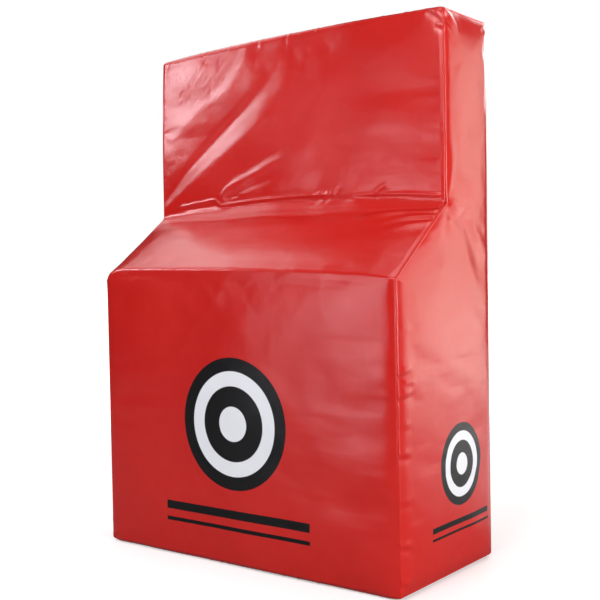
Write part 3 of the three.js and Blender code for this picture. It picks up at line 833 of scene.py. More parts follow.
def vinyl(name, mark=None):
    """Glossy PVC-coated fabric with a fine embossed grain. mark is (first axis, centre, centre z, scale) of a printed target."""
    n = Nodes(name)
    slow = n.noise(5.0, 3.0, 0.55)
    spots = n.noise(55.0, 3.0, 0.6)
    tone = n.math("ADD", n.math("MULTIPLY", slow, 0.75), n.math("MULTIPLY", spots, 0.25))
    colour = n.mix(n.ramp(tone, 0.25, 0.75), RED_DEEP, RED_LIGHT)
    rough = n.ramp(n.noise(17.0, 4.0, 0.6), 0.3, 0.7, 0.168, 0.190)
    grain = n.voronoi(1150.0)
    pores = n.noise(2600.0, 2.0, 0.6)
    drum = n.noise(420.0, 2.0, 0.5)
    coat = 0.15
    shine = 0.5
    if mark:
        axis, cu, cz, k = mark
        x, y, z = n.split()
        u = n.math("MULTIPLY", n.math("SUBTRACT", x if axis == "x" else y, cu), 1.0 / k)
        w = n.math("MULTIPLY", n.math("SUBTRACT", z, cz), 1.0 / k)
        r = n.math("SQRT", n.math("ADD", n.math("MULTIPLY", u, u), n.math("MULTIPLY", w, w)))
        soft = 0.00045 / k

        def below(v, edge):
            return n.ramp(v, edge - soft, edge + soft, 1.0, 0.0, False)

        def bar(top, bottom, half):
            a = n.math("MULTIPLY", below(w, top), n.math("SUBTRACT", 1.0, below(w, bottom)))
            return n.math("MULTIPLY", a, below(n.math("ABSOLUTE", u), half))

        disc = below(r, 0.098)
        ring = n.math("SUBTRACT", below(r, 0.078), below(r, 0.056))
        dot = below(r, 0.026)
        white = n.math("MAXIMUM", ring, dot)
        bars = n.math("MAXIMUM", bar(-0.128, -0.141, 0.138), bar(-0.153, -0.159, 0.138))
        black = n.math("MAXIMUM", disc, bars)
        worn = n.ramp(n.noise(420.0, 4.0, 0.75), 0.18, 0.30)
        black = n.math("MULTIPLY", black, n.math("ADD", 0.9, n.math("MULTIPLY", worn, 0.1)))
        inside = n.math("MULTIPLY", z, 1.0)
        if axis == "x":  # only on the front of the lower face
            front = n.ramp(y, -0.12, -0.118, 1.0, 0.0, False)
        else:
            front = 1.0
        black = n.math("MULTIPLY", black, front)
        white = n.math("MULTIPLY", white, front)
        colour = n.mix(black, colour, (0.0052, 0.0050, 0.0056))
        colour = n.mix(white, colour, (0.80, 0.83, 0.88))
        rough = n.math("ADD", rough, n.math("MULTIPLY", black, 0.07))
        shine = n.math("SUBTRACT", 0.5, n.math("MULTIPLY", black, 0.22))
    b1 = n.bump(grain, 0.45, 0.00020)
    b2 = n.bump(drum, 0.10, 0.0004, b1)
    b3 = n.bump(pores, 0.18, 0.0001, b2)
    return n.set(Base_Color=colour, Roughness=rough, Normal=b3, Coat_Weight=coat, Coat_Roughness=0.2, IOR=1.5, Specular_IOR_Level=shine)


MAT_VINYL = vinyl("vinyl")
MAT_VINYL_FRONT = vinyl("vinyl_front", ("x", -0.004, 0.213, 1.0))
MAT_VINYL_SIDE = vinyl("vinyl_side", ("y", 0.027, 0.158, 0.60))


def dress(ob, mat, body="root"):
    ob.data.materials.clear()
    ob.data.materials.append(mat)
    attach(ob, body)
    return ob


# ---------------------------------------------------------------- the cover as cloth

def box_blur(h, n):
    """A wide, cheap blur of a grid, three passes of a box n cells wide."""
    k = np.ones(n) / n
    for _ in range(3):
        h = np.apply_along_axis(lambda v: np.convolve(np.pad(v, n // 2, mode="edge"), k, mode="valid"), 0, h)
        h = np.apply_along_axis(lambda v: np.convolve(np.pad(v, n // 2, mode="edge"), k, mode="valid"), 1, h)
    return h


def cloth_sheet(name, pos, normal, growth, pressure, stiff):
    """Lets a coarse sheet, held along its seams, go slack by growth and fill out under pressure.
    Returns how far each point moved along normal, in mm."""
    rows, cols = pos.shape[:2]
    index = np.arange(rows * cols).reshape(rows, cols)
    quads = np.stack([index[:-1, :-1], index[:-1, 1:], index[1:, 1:], index[1:, :-1]], -1).reshape(-1, 4)
    flat = pos.reshape(-1, 3) * MM
    side = np.cross(flat[quads[:, 1]] - flat[quads[:, 0]], flat[quads[:, 3]] - flat[quads[:, 0]])
    if (side * normal.reshape(-1, 3)[quads[:, 0]]).sum(1).mean() < 0:
        quads = quads[:, ::-1]
    me = bpy.data.meshes.new(name)
    me.from_pydata(flat.tolist(), [], quads.tolist())
    ob = bpy.data.objects.new(name, me)
    sc = bpy.context.scene
    sc.collection.objects.link(ob)
    held = ob.vertex_groups.new(name="held")
    rim = np.zeros((rows, cols), bool)
    rim[[0, -1], :] = True
    rim[:, [0, -1]] = True
    held.add([int(i) for i in index[rim]], 1.0, "REPLACE")
    mod = ob.modifiers.new("cloth", "CLOTH")
    c = mod.settings
    c.quality = 6
    c.mass = 0.12
    c.air_damping = 1.0
    c.tension_stiffness = c.compression_stiffness = 30
    c.shear_stiffness = 12
    c.bending_stiffness = stiff
    c.tension_damping = c.compression_damping = 12
    c.shear_damping = 8
    c.bending_damping = 0.6
    c.vertex_group_mass = "held"
    c.pin_stiffness = 1
    c.use_pressure = True
    c.uniform_pressure_force = pressure
    c.shrink_min = -growth
    c.effector_weights.gravity = 0
    mod.collision_settings.use_collision = False
    mod.collision_settings.use_self_collision = False
    mod.point_cache.frame_start, mod.point_cache.frame_end = 1, 20
    for frame_no in range(1, 21):
        sc.frame_set(frame_no)
    moved = ob.evaluated_get(bpy.context.evaluated_depsgraph_get()).to_mesh()
    co = np.empty(rows * cols * 3)
    moved.vertices.foreach_get("co", co)
    sc.frame_set(1)
    bpy.data.objects.remove(ob)
    bpy.data.meshes.remove(me)
    return (((co.reshape(-1, 3) - flat) / MM) * normal.reshape(-1, 3)).sum(1).reshape(rows, cols)


def looked_up(us, vs, grid):
    """A smooth reading of a grid with rows at vs and columns at us."""
    def read(u, v):
        fu = np.interp(u, us, np.arange(len(us)))
        fv = np.interp(v, vs, np.arange(len(vs)))
        i = np.clip(fu.astype(int), 0, len(us) - 2)
        j = np.clip(fv.astype(int), 0, len(vs) - 2)
        a, b = fu - i, fv - j
        a, b = a * a * (3 - 2 * a), b * b * (3 - 2 * b)
        return (grid[j, i] * (1 - a) * (1 - b) + grid[j, i + 1] * a * (1 - b) + grid[j + 1, i] * (1 - a) * b + grid[j + 1, i + 1] * a * b)
    return read


def slack(name, us, vs, pos, normal, share=0.5, cap=(-0.7, 0.9), growth=0.0022, pressure=2.0, stiff=2.5):
    """The creases a cloth run leaves in a panel: its broad swelling is taken off, since the crown already holds it."""
    h = cloth_sheet(name, pos, normal, growth, pressure, stiff)
    wide = box_blur(h, 9)
    fine = np.clip((h - wide) * share, *cap)
    print(name, "cloth", pos.shape[:2], "moved", round(float(h.min()), 2), round(float(h.max()), 2), "kept", round(float(fine.min()), 2), round(float(fine.max()), 2), "rms", round(float(fine.std()), 3))
    return looked_up(us, vs, fine)


def wrap_cloth(name, ends, **how):
    us = np.linspace(-XE, XE, int(2 * XE / CELL))
    vs = np.linspace(ends[0], ends[1], max(6, int((ends[1] - ends[0]) / CELL)))
    X, T = np.meshgrid(us, vs)
    pos, n = wrap_surface(X, T, ends, [])
    return slack(name, us, vs, pos, np.concatenate([np.zeros(X.shape + (1,)), n], -1), **how)


def side_cloth(name, sign, seed, **how):
    vs = np.linspace(float(SIDE_LINE[:, 1].min()) + 0.4, float(SIDE_LINE[:, 1].max()) - 0.4, int(HEIGHT / CELL))
    us = np.linspace(0, 1, 34)
    ends = side_rows(vs)
    Y = ends["yf"][:, None] + (ends["yb"] - ends["yf"])[:, None] * (0.002 + 0.996 * us[None])
    Z = np.repeat(vs[:, None], len(us), 1)
    pos = side_surface(Y, Z, sign, [], seed)
    return slack(name, us, vs, pos, np.tile([float(sign), 0.0, 0.0], Y.shape + (1,)), **how)


CELL = 7.5


# ---------------------------------------------------------------- build the cover

def edge_marks(edge):
    return [(-edge, 22, 0.55), (edge, 22, 0.55)]


XE = X_EDGE - 0.35
XS_FRONT = spaced(-XE, XE, 2.75, edge_marks(XE) + [(-145, 30, 1.7), (65, 40, 1.7), (165, 25, 1.8), (-210, 40, 2.0)])
TS_FRONT = spaced(T_BOTTOM_FRONT, T_TOP_FRONT, 2.9, [(T_BOTTOM_FRONT, 18, 0.7), (T_TOP_FRONT, 18, 0.7), (TAU_C[1], 30, 1.6), (TAU_C[2] + 18, 46, 1.15), (TAU_C[2] - 24, 30, 1.6)])
front = wrap_panel("cover_front", (T_BOTTOM_FRONT, T_TOP_FRONT), XS_FRONT, TS_FRONT, FRONT_FOLDS, sim=wrap_cloth("slack_front", (T_BOTTOM_FRONT, T_TOP_FRONT), share=0.33))
print("front", len(front.data.polygons), "quads")
dress(front, MAT_VINYL_FRONT)
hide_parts("front_panel")

XS_REST = spaced(-XE, XE, 3.6, edge_marks(XE))
top = wrap_panel("cover_top", (T_TOP_FRONT, T_TOP_BACK), XS_REST, spaced(T_TOP_FRONT, T_TOP_BACK, 3.2, [(T_TOP_FRONT, 18, 0.8), (T_TOP_BACK, 18, 0.8)]), TOP_FOLDS,
                 sim=wrap_cloth("slack_top", (T_TOP_FRONT, T_TOP_BACK)))
dress(top, MAT_VINYL)
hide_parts("top_panel")

XS_BACK = spaced(-XE, XE, 3.6, edge_marks(XE) + [(vx, 12, 1.0) for vx in sorted({v[0] for v in VENT_AT})])
TS_BACK = spaced(T_TOP_BACK, T_ZIP_HI, 3.6, [(T_TOP_BACK, 18, 0.8), (T_ZIP_HI, 10, 0.9)]
                 + [(tau_on(4, vz), 12, 1.0) for vz in sorted({v[1] for v in VENT_AT})]
                 + [(tau_on(4, z), 12, 1.6) for lo, hi in BAND_BOXES for z in (lo[2], hi[2])])
back_upper = wrap_panel("cover_back_upper", (T_TOP_BACK, T_ZIP_HI), XS_BACK, TS_BACK, BACK_FOLDS, hem=(False, True),
                        sim=wrap_cloth("slack_back_upper", (T_TOP_BACK, T_ZIP_HI)))
punch(back_upper, VENT_AT, 5.6)
dress(back_upper, MAT_VINYL)
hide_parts("back_panel_upper")

back_lower = wrap_panel("cover_back_lower", (T_ZIP_LO, T_BACK_BOTTOM), XS_REST, spaced(T_ZIP_LO, T_BACK_BOTTOM, 3.0, [(T_ZIP_LO, 10, 0.9), (T_BACK_BOTTOM, 14, 0.9)]), BACK_FOLDS, hem=(True, False),
                        sim=wrap_cloth("slack_back_lower", (T_ZIP_LO, T_BACK_BOTTOM)))
dress(back_lower, MAT_VINYL)
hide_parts("back_panel_lower")

bottom = wrap_panel("cover_bottom", (T_BACK_BOTTOM, T_BOTTOM_FRONT + TOTAL), XS_REST, spaced(T_BACK_BOTTOM, T_BOTTOM_FRONT + TOTAL, 5.0, [(T_BACK_BOTTOM, 14, 0.9), (T_BOTTOM_FRONT + TOTAL, 14, 0.9)]), [])
dress(bottom, MAT_VINYL)
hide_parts("bottom_panel")

side_r = side_panel("cover_side_right", 1, SIDE_FOLDS, 41, sim=side_cloth("slack_side_right", 1, 41))
dress(side_r, MAT_VINYL_SIDE)
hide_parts("side_panel_right")
side_l = side_panel("cover_side_left", -1, [], 51, sim=side_cloth("slack_side_left", -1, 51))
dress(side_l, MAT_VINYL)
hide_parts("side_panel_left")
print("side", len(side_r.data.polygons), "quads")

# ---------------------------------------------------------------- materials of the other parts

def webbing_material(name, colour, worn=0.35):
    n = Nodes(name)
    tone = n.ramp(n.noise(30.0, 4.0, 0.6), 0.35, 0.7)
    fuzz = n.noise(2400.0, 2.0, 0.7)
    dust = n.ramp(n.noise(90.0, 5.0, 0.75), 0.52, 0.8)
    light = tuple(min(1.0, c * 1.9 + 0.012) for c in colour)
    base = n.mix(tone, colour, tuple(c * 1.35 for c in colour))
    base = n.mix(n.math("MULTIPLY", dust, worn), base, light)
    yarn = n.bump(fuzz, 0.35, 0.00025)
    yarn = n.bump(n.voronoi(1500.0), 0.3, 0.0002, yarn)
    return n.set(Base_Color=base, Roughness=n.math("ADD", n.math("MULTIPLY", fuzz, 0.16), 0.50), Normal=yarn,
                 Sheen_Weight=0.22, Sheen_Roughness=0.4, Specular_IOR_Level=0.35)


def thread_material(name, colour):
    n = Nodes(name)
    twist = n.wave(900.0, "DIAGONAL", distortion=1.5)
    base = n.mix(n.noise(300.0, 2.0), colour, tuple(min(1.0, c * 1.6) for c in colour))
    return n.set(Base_Color=base, Roughness=0.55, Normal=n.bump(twist, 0.4, 0.0002), Sheen_Weight=0.2)


def metal_material(name, colour, rough=0.24):
    n = Nodes(name)
    scratch = n.noise(500.0, 5.0, 0.75, distortion=1.2)
    dull = n.ramp(n.noise(120.0, 4.0, 0.65), 0.4, 0.75, rough, rough + 0.16)
    base = n.mix(n.ramp(n.noise(160.0, 3.0), 0.3, 0.7), colour, tuple(c * 0.82 for c in colour))
    return n.set(Base_Color=base, Metallic=1.0, Roughness=dull, Normal=n.bump(scratch, 0.12, 0.0001))


def coil_material(name):
    n = Nodes(name)
    base = n.mix(n.noise(200.0, 3.0), (0.014, 0.014, 0.016), (0.030, 0.030, 0.034))
    return n.set(Base_Color=base, Roughness=n.ramp(n.noise(350.0, 3.0), 0.3, 0.7, 0.26, 0.42), Normal=n.bump(n.noise(1500.0, 2.0), 0.15, 0.0001))


def foam_material(name, colour, cell):
    n = Nodes(name)
    tone = n.ramp(n.noise(9.0, 4.0, 0.6), 0.3, 0.7)
    base = n.mix(tone, colour, tuple(c * 0.86 for c in colour))
    pits_and_pit_shade = n.voronoi(cell, "DISTANCE_TO_EDGE")
    # the colour darkens along the cell edges where the bump sinks: painted shade in the pits
    base = n.mix(n.ramp(pits_and_pit_shade, 0.0, 0.12, 0.35, 0.0), base, tuple(c * 0.45 for c in colour))
    return n.set(Base_Color=base, Roughness=0.92, Normal=n.bump(pits_and_pit_shade, 0.7, 0.0006), Specular_IOR_Level=0.2, Sheen_Weight=0.1)


MAT_WEB = webbing_material("webbing", (0.0125, 0.0125, 0.0145))
MAT_SLEEVE = webbing_material("grip_cover", (0.017, 0.017, 0.019), 0.2)
MAT_TAPE = webbing_material("zip_tape", (0.014, 0.014, 0.016), 0.15)
MAT_THREAD = thread_material("thread_black", (0.030, 0.030, 0.034))
MAT_THREAD_RED = thread_material("thread_red", (0.34, 0.012, 0.010))
MAT_COIL = coil_material("zip_coil")
MAT_METAL = metal_material("zip_metal", (0.56, 0.57, 0.59))
MAT_EYELET = metal_material("eyelet_metal", (0.62, 0.62, 0.60), 0.2)
MAT_FOAM = foam_material("core_foam", (0.66, 0.56, 0.34), 900.0)
MAT_FIRM = foam_material("firm_foam", (0.16, 0.18, 0.20), 1400.0)


# ---------------------------------------------------------------- makers for straps, thread and small hardware

def new_object(name, verts, faces, smooth_faces=True):
    """A mesh object from points in millimetres."""
    me = bpy.data.meshes.new(name)
    me.from_pydata([tuple(v) for v in (np.asarray(verts, float) * MM)], [], [tuple(int(i) for i in f) for f in faces])
    me.validate()
    me.polygons.foreach_set("use_smooth", np.full(len(me.polygons), smooth_faces))
    ob = bpy.data.objects.new(name, me)
    bpy.context.scene.collection.objects.link(ob)
    return ob


def tube_grid(rings, closed_ends=True):
    """Faces for rings of points, each joined to the next and closed round."""
    n, m = rings.shape[:2]
    faces = []
    for i in range(n - 1):
        for j in range(m):
            a, b = i * m + j, i * m + (j + 1) % m
            faces.append((a, b, b + m, a + m))
    if closed_ends:
        faces.append(tuple(range(m))[::-1])
        faces.append(tuple((n - 1) * m + j for j in range(m)))
    return rings.reshape(-1, 3), faces


def resample(points, step):
    """Evenly spaced points along a polyline, which may have any number of columns; spacing is by its first two or three."""
    p = np.asarray(points, float)
    d = np.linalg.norm(np.diff(p, axis=0), axis=1)
    s = np.concatenate([[0], np.cumsum(d)])
    n = max(2, int(round(s[-1] / step)) + 1)
    q = np.linspace(0, s[-1], n)
    return np.stack([np.interp(q, s, p[:, k]) for k in range(p.shape[1])], -1), q


def ribbon(name, path, across, width, thick, step=0.7, cross=1.1, rib=(0.11, 1.9, 6.0), under=None):
    """Webbing along path: across is its width direction, width and thick may be functions of the share along it.
    rib is the weave's height, its pitch along the webbing and the width of one herringbone row."""
    p, s = resample(path, step)
    share = s / s[-1]
    tangent = np.gradient(p, s, axis=0)
    tangent /= np.linalg.norm(tangent, axis=1)[:, None]
    w_dir = np.array(across, float)
    normal = np.cross(tangent, w_dir)
    normal /= np.linalg.norm(normal, axis=1)[:, None]
    w = np.array([width(u) if callable(width) else width for u in share])
    t = np.array([thick(u) if callable(thick) else thick for u in share])
    amp, pitch, row = rib
    n_top = max(6, int(w.max() / cross))
    n_under = under or n_top
    u_top = np.linspace(-1, 1, n_top)
    u_low = np.linspace(1, -1, n_under)
    arc = np.linspace(90, -90, 7)[1:-1]
    rings = []
    for i in range(len(p)):
        r = t[i] / 2
        half = w[i] / 2 - r * 0.8
        x_top, x_low = u_top * half, u_low * half

        def weave(x, sign):
            tri = np.abs(((x / row) % 2) - 1)
            h = amp * np.cos(2 * math.pi * (s[i] / pitch + sign * 0.9 * tri))
            h = h - 0.06 * (np.abs(((x / row) % 1) - 0.5) > 0.44)
            return h * np.clip((half - np.abs(x)) / 1.2, 0.25, 1)

        pts = [(x, r + h) for x, h in zip(x_top, weave(x_top, 1))]
        pts += [(half + 0.8 * r * math.cos(math.radians(a)), r * math.sin(math.radians(a))) for a in arc]
        pts += [(x, -r - h) for x, h in zip(x_low, weave(x_low, -1) if n_under == n_top else np.zeros(n_under))]
        pts += [(-half - 0.8 * r * math.cos(math.radians(a)), -r * math.sin(math.radians(a))) for a in arc]
        q = np.array(pts)
        rings.append(p[i] + q[:, :1] * w_dir + q[:, 1:] * normal[i])
    verts, faces = tube_grid(np.array(rings))
    ob = new_object(name, verts, faces)
    fix_normals(ob)
    return ob


def fix_normals(ob):
    bm = bmesh.new()
    bm.from_mesh(ob.data)
    bmesh.ops.recalc_face_normals(bm, faces=bm.faces)
    bm.to_mesh(ob.data)
    bm.free()


def stitch_mesh(name, lines, normal, pitch=3.4, length=2.7, radius=0.36, lift=0.12):
    """Rows of thread: each stitch is a short bowed strand that dives into the fabric at both ends."""
    verts, faces = [], []
    nrm = np.array(normal, float)
    us = (-1.0, -0.72, -0.3, 0.3, 0.72, 1.0)
    rad = (0.45, 0.9, 1.0, 1.0, 0.9, 0.45)
    rise = (-1.1, -0.15, 0.35, 0.35, -0.15, -1.1)
    k = 6
    for line in lines:
        p, s = resample(line, 0.5)
        total = s[-1]
        count = max(1, int(total / pitch))
        for i in range(count):
            mid = (i + 0.5) * total / count
            ends = []
            for u in us:
                q = np.array([np.interp(mid + u * length / 2, s, p[:, c]) for c in range(3)])
                ends.append(q)
            ends = np.array(ends)
            tan = ends[-1] - ends[0]
            tan /= np.linalg.norm(tan)
            side = np.cross(tan, nrm)
            base = len(verts)
            for q, rr, hh in zip(ends, rad, rise):
                c = q + nrm * (lift + hh * radius)
                for j in range(k):
                    a = 2 * math.pi * j / k
                    verts.append(c + radius * rr * (math.cos(a) * side + math.sin(a) * nrm))
            for r in range(len(us) - 1):
                for j in range(k):
                    a, b = base + r * k + j, base + r * k + (j + 1) % k
                    faces.append((a, b, b + k, a + k))
            faces.append(tuple(base + j for j in range(k))[::-1])
            faces.append(tuple(base + (len(us) - 1) * k + j for j in range(k)))
    ob = new_object(name, verts, faces)
    fix_normals(ob)
    return ob


def rounded_plate(name, outline, y0, y1, edge=0.4, holes=(), segments=3, dome=0.0):
    """A plate in the back's plane with rounded edges: outline and holes are (x, z) lists."""
    bm = bmesh.new()

    def loop(pts, y):
        return [bm.verts.new((x, y, z)) for x, z in pts]

    loops = [list(outline)] + [list(h) for h in holes]
    for pts in loops:
        a, b = loop(pts, y0), loop(pts, y1)
        n = len(pts)
        for i in range(n):
            bm.faces.new((a[i], a[(i + 1) % n], b[(i + 1) % n], b[i]))
    bm.verts.ensure_lookup_table()
    for y in (y0, y1):
        edges = [e for e in bm.edges if all(abs(v.co.y - y) < 1e-6 for v in e.verts)]
        bmesh.ops.triangle_fill(bm, use_beauty=True, use_dissolve=True, edges=edges)
    bmesh.ops.recalc_face_normals(bm, faces=bm.faces)
    rim = [e for e in bm.edges if len(e.link_faces) == 2 and e.calc_face_angle(0) > 0.9 and abs(e.verts[0].co.y - e.verts[1].co.y) < 1e-6]
    bmesh.ops.bevel(bm, geom=rim, offset=edge, segments=segments, profile=0.5, affect="EDGES", clamp_overlap=True)
    if dome:
        cx = sum(p[0] for p in outline) / len(outline)
        cz = sum(p[1] for p in outline) / len(outline)
    for v in bm.verts:
        v.co *= MM
    me = bpy.data.meshes.new(name)
    bm.to_mesh(me)
    bm.free()
    me.polygons.foreach_set("use_smooth", np.ones(len(me.polygons), bool))
    ob = bpy.data.objects.new(name, me)
    bpy.context.scene.collection.objects.link(ob)
    me.update()
    sharp_by_angle(ob, 40)
    return ob


def sharp_by_angle(ob, degrees):
    """Marks edges sharper than an angle, so that flat faces stay flat under smooth shading."""
    bm = bmesh.new()
    bm.from_mesh(ob.data)
    for e in bm.edges:
        e.smooth = not (len(e.link_faces) == 2 and e.calc_face_angle(0) > math.radians(degrees))
    bm.to_mesh(ob.data)
    bm.free()


def rounded_rectangle(x0, x1, z0, z1, r, n=6):
    out = []
    for cx, cz, a0 in ((x1 - r, z0 + r, -90), (x1 - r, z1 - r, 0), (x0 + r, z1 - r, 90), (x0 + r, z0 + r, 180)):
        for i in range(n + 1):
            a = math.radians(a0 + 90 * i / n)
            out.append((cx + r * math.cos(a), cz + r * math.sin(a)))
    return out


def lathe_y(name, profile, centre, n=64):
    """A ring round an axis along Y: profile is a closed list of (radius, y)."""
    prof = np.array(profile, float)
    rings = []
    for i in range(n):
        a = 2 * math.pi * i / n
        rings.append(np.stack([centre[0] + prof[:, 0] * math.cos(a), prof[:, 1], centre[1] + prof[:, 0] * math.sin(a)], -1))
    rings = np.array(rings)
    m = len(prof)
    faces = [(i * m + j, i * m + (j + 1) % m, ((i + 1) % n) * m + (j + 1) % m, ((i + 1) % n) * m + j) for i in range(n) for j in range(m)]
    ob = new_object(name, rings.reshape(-1, 3), faces)
    fix_normals(ob)
    return ob


# ---------------------------------------------------------------- foam inside the cover

def foam_block(name, outline, x0, x1, radius, seed):
    """A cut block of foam: outline in (y, z), rounded edges, bent by the same sag as the cover."""
    bm = bmesh.new()
    a = [bm.verts.new((x0, y, z)) for y, z in outline]
    b = [bm.verts.new((x1, y, z)) for y, z in outline]
    n = len(outline)
    bm.faces.new(a)
    bm.faces.new(b[::-1])
    for i in range(n):
        bm.faces.new((a[i], b[i], b[(i + 1) % n], a[(i + 1) % n]))
    bmesh.ops.recalc_face_normals(bm, faces=bm.faces)
    bmesh.ops.bevel(bm, geom=list(bm.edges), offset=radius, segments=5, profile=0.5, affect="EDGES", clamp_overlap=True)
    bmesh.ops.triangulate(bm, faces=[f for f in bm.faces if len(f.verts) > 4])
    for _ in range(3):
        long_edges = [e for e in bm.edges if e.calc_length() > 45]
        if not long_edges:
            break
        bmesh.ops.subdivide_edges(bm, edges=long_edges, cuts=2, use_grid_fill=True)
    for v in bm.verts:
        v.co = Vector([float(c) for c in settle(np.array(v.co[:]))]) * MM
    bmesh.ops.recalc_face_normals(bm, faces=bm.faces)
    me = bpy.data.meshes.new(name)
    bm.to_mesh(me)
    bm.free()
    me.polygons.foreach_set("use_smooth", np.ones(len(me.polygons), bool))
    ob = bpy.data.objects.new(name, me)
    bpy.context.scene.collection.objects.link(ob)
    sharp_by_angle(ob, 50)
    return ob


INSET = 3.0
lo, hi = box_mm("foam_lower_block")
outline = [(lo[1] + INSET, lo[2] + INSET), (lo[1] + INSET, Z_FACE - 1.5), (Y_UPPER + 5.0, Z_STEP - 8), (hi[1], Z_STEP - 8), (hi[1], lo[2] + INSET)]
ob = foam_block("foam_step_block", outline, lo[0] + INSET + 1.5, hi[0] - INSET - 1.5, 5.0, 1)
dress(ob, MAT_FOAM)
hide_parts("foam_lower_block")
lo, hi = box_mm("foam_main_slab")
outline = [(lo[1], lo[2] + INSET), (lo[1], Z_STEP - 12), (lo[1] + 2.0, Z_STEP), (lo[1] + 2.0, hi[2] - INSET - 0.5), (hi[1], hi[2] - INSET - 0.5), (hi[1], lo[2] + INSET)]
ob = foam_block("foam_main", outline, lo[0] + INSET + 1.5, hi[0] - INSET - 1.5, 5.0, 2)
dress(ob, MAT_FOAM)
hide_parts("foam_main_slab")
lo, hi = box_mm("foam_backing_sheet")
outline = [(lo[1], lo[2] + INSET), (lo[1], hi[2] - INSET - 1.0), (hi[1] - 1.5, hi[2] - INSET - 1.0), (hi[1] - 1.5, lo[2] + INSET)]
ob = foam_block("foam_backing", outline, lo[0] + INSET + 1.5, hi[0] - INSET - 1.5, 4.0, 3)
dress(ob, MAT_FIRM)
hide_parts("foam_backing_sheet")


# ---------------------------------------------------------------- reinforcement bands

for which in ("lower", "upper"):
    lo, hi = box_mm(f"reinforcement_band_{which}")
    zc, yc = (lo[2] + hi[2]) / 2, (lo[1] + hi[1]) / 2 - 0.05
    path = [(lo[0], yc - 0.5, zc), (lo[0] + 2.5, yc, zc), (hi[0] - 2.5, yc, zc), (hi[0], yc - 0.5, zc)]
    ob = ribbon(f"band_{which}", path, (0, 0, -1), hi[2] - lo[2], 1.6, step=0.75, cross=1.15, rib=(0.10, 2.1, 8.0), under=8)
    dress(ob, MAT_WEB)
    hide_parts(f"reinforcement_band_{which}")
    top_y = yc + 0.85
    rows = []
    for inset in (3.0, 6.0):
        for z in (lo[2] + inset, hi[2] - inset):
            rows.append([(lo[0] + 4, top_y, z), (hi[0] - 4, top_y, z)])
    for inset in (5.0, 12.0):
        for x in (lo[0] + inset, hi[0] - inset):
            rows.append([(x, top_y, lo[2] + 6), (x, top_y, hi[2] - 6)])
    st = stitch_mesh(f"band_{which}_stitching", rows, (0, 1, 0), pitch=3.7, length=3.0, radius=0.34)
    dress(st, MAT_THREAD)


# ---------------------------------------------------------------- straps and grips

def strap_path(lo_end, hi_end, arch):
    """The height where the lower sewn end starts, the height where the upper sewn end stops, and the y of the lower
    tab.
    """
    z0, z1 = lo_end[0][2], hi_end[1][2]
    y_tab = (lo_end[0][1] + lo_end[1][1]) / 2 - 0.1
    return z0, z1, y_tab


def sewn_box(name, x, width, z0, z1, y, toward_arch):
    """A sewn square with a cross in it, on a strap's end."""
    inset = 3.2
    xa, xb = x - width / 2 + inset, x + width / 2 - inset
    za, zb = z0 + 3.5, z1 - 9.5
    if toward_arch < 0:
        za, zb = z0 + 9.5, z1 - 3.5
    box = [[(xa, y, za), (xb, y, za)], [(xb, y, za), (xb, y, zb)], [(xb, y, zb), (xa, y, zb)], [(xa, y, zb), (xa, y, za)],
           [(xa + 1.5, y, za + 1.5), (xb - 1.5, y, zb - 1.5)], [(xb - 1.5, y, za + 1.5), (xa + 1.5, y, zb - 1.5)]]
    return stitch_mesh(name, box, (0, 1, 0), pitch=3.4, length=2.75, radius=0.40)


Z_MID = frame["joints"][0]["pos_m"][2] * 1000
Y_HINGE = frame["joints"][0]["pos_m"][1] * 1000
for side, sign in (("left", -1), ("right", 1)):
    lo_a, hi_a = box_mm(f"arm_strap_{side}")
    lo_l, hi_l = box_mm(f"arm_strap_{side}_end_lower")
    lo_u, hi_u = box_mm(f"arm_strap_{side}_end_upper")
    xc = (lo_a[0] + hi_a[0]) / 2
    half = hi_l[2]
    half = Z_MID - hi_l[2]
    rise = hi_a[1] - 1.25 - Y_HINGE
    y_tab = (lo_l[1] + hi_l[1]) / 2 - 0.15
    arc = []
    for i in range(61):
        t = math.radians(15 + 150 * i / 60)
        arc.append((Y_HINGE + rise * math.sin(t), Z_MID - half * math.cos(t)))
    y1, z1 = arc[0]
    lower = [(y_tab, lo_l[2] + 0.3), (y_tab, z1 - 13.0)]
    # a soft bend out of the sewn end
    bend = []
    p0, p1, p2, p3 = np.array([y_tab, z1 - 13.0]), np.array([y_tab, z1 - 2.5]), np.array([y1 - 8.5, z1 - 1.0]), np.array([y1, z1])
    for i in range(1, 12):
        t = i / 12
        bend.append(tuple((1 - t) ** 3 * p0 + 3 * (1 - t) ** 2 * t * p1 + 3 * (1 - t) * t * t * p2 + t ** 3 * p3))
    first = lower + bend
    mirror = [(y, 2 * Z_MID - z) for y, z in first][::-1]
    line = [(xc, y, z) for y, z in first + arc + mirror]
    ob = ribbon(f"forearm_strap_{side}", line, (-1, 0, 0), hi_a[0] - lo_a[0], 2.2, step=0.75, cross=1.1, rib=(0.12, 2.0, 6.25))
    ob.data.materials.append(MAT_WEB)
    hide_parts(f"arm_strap_{side}", f"arm_strap_{side}_end_lower", f"arm_strap_{side}_end_upper")
    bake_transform(ob)
    for end, (l, h) in (("lower", (lo_l, hi_l)), ("upper", (lo_u, hi_u))):
        st = sewn_box(f"forearm_strap_{side}_stitching_{end}", xc, hi_l[0] - lo_l[0], l[2], h[2], y_tab + 1.15, 1 if end == "lower" else -1)
        dress(st, MAT_THREAD)

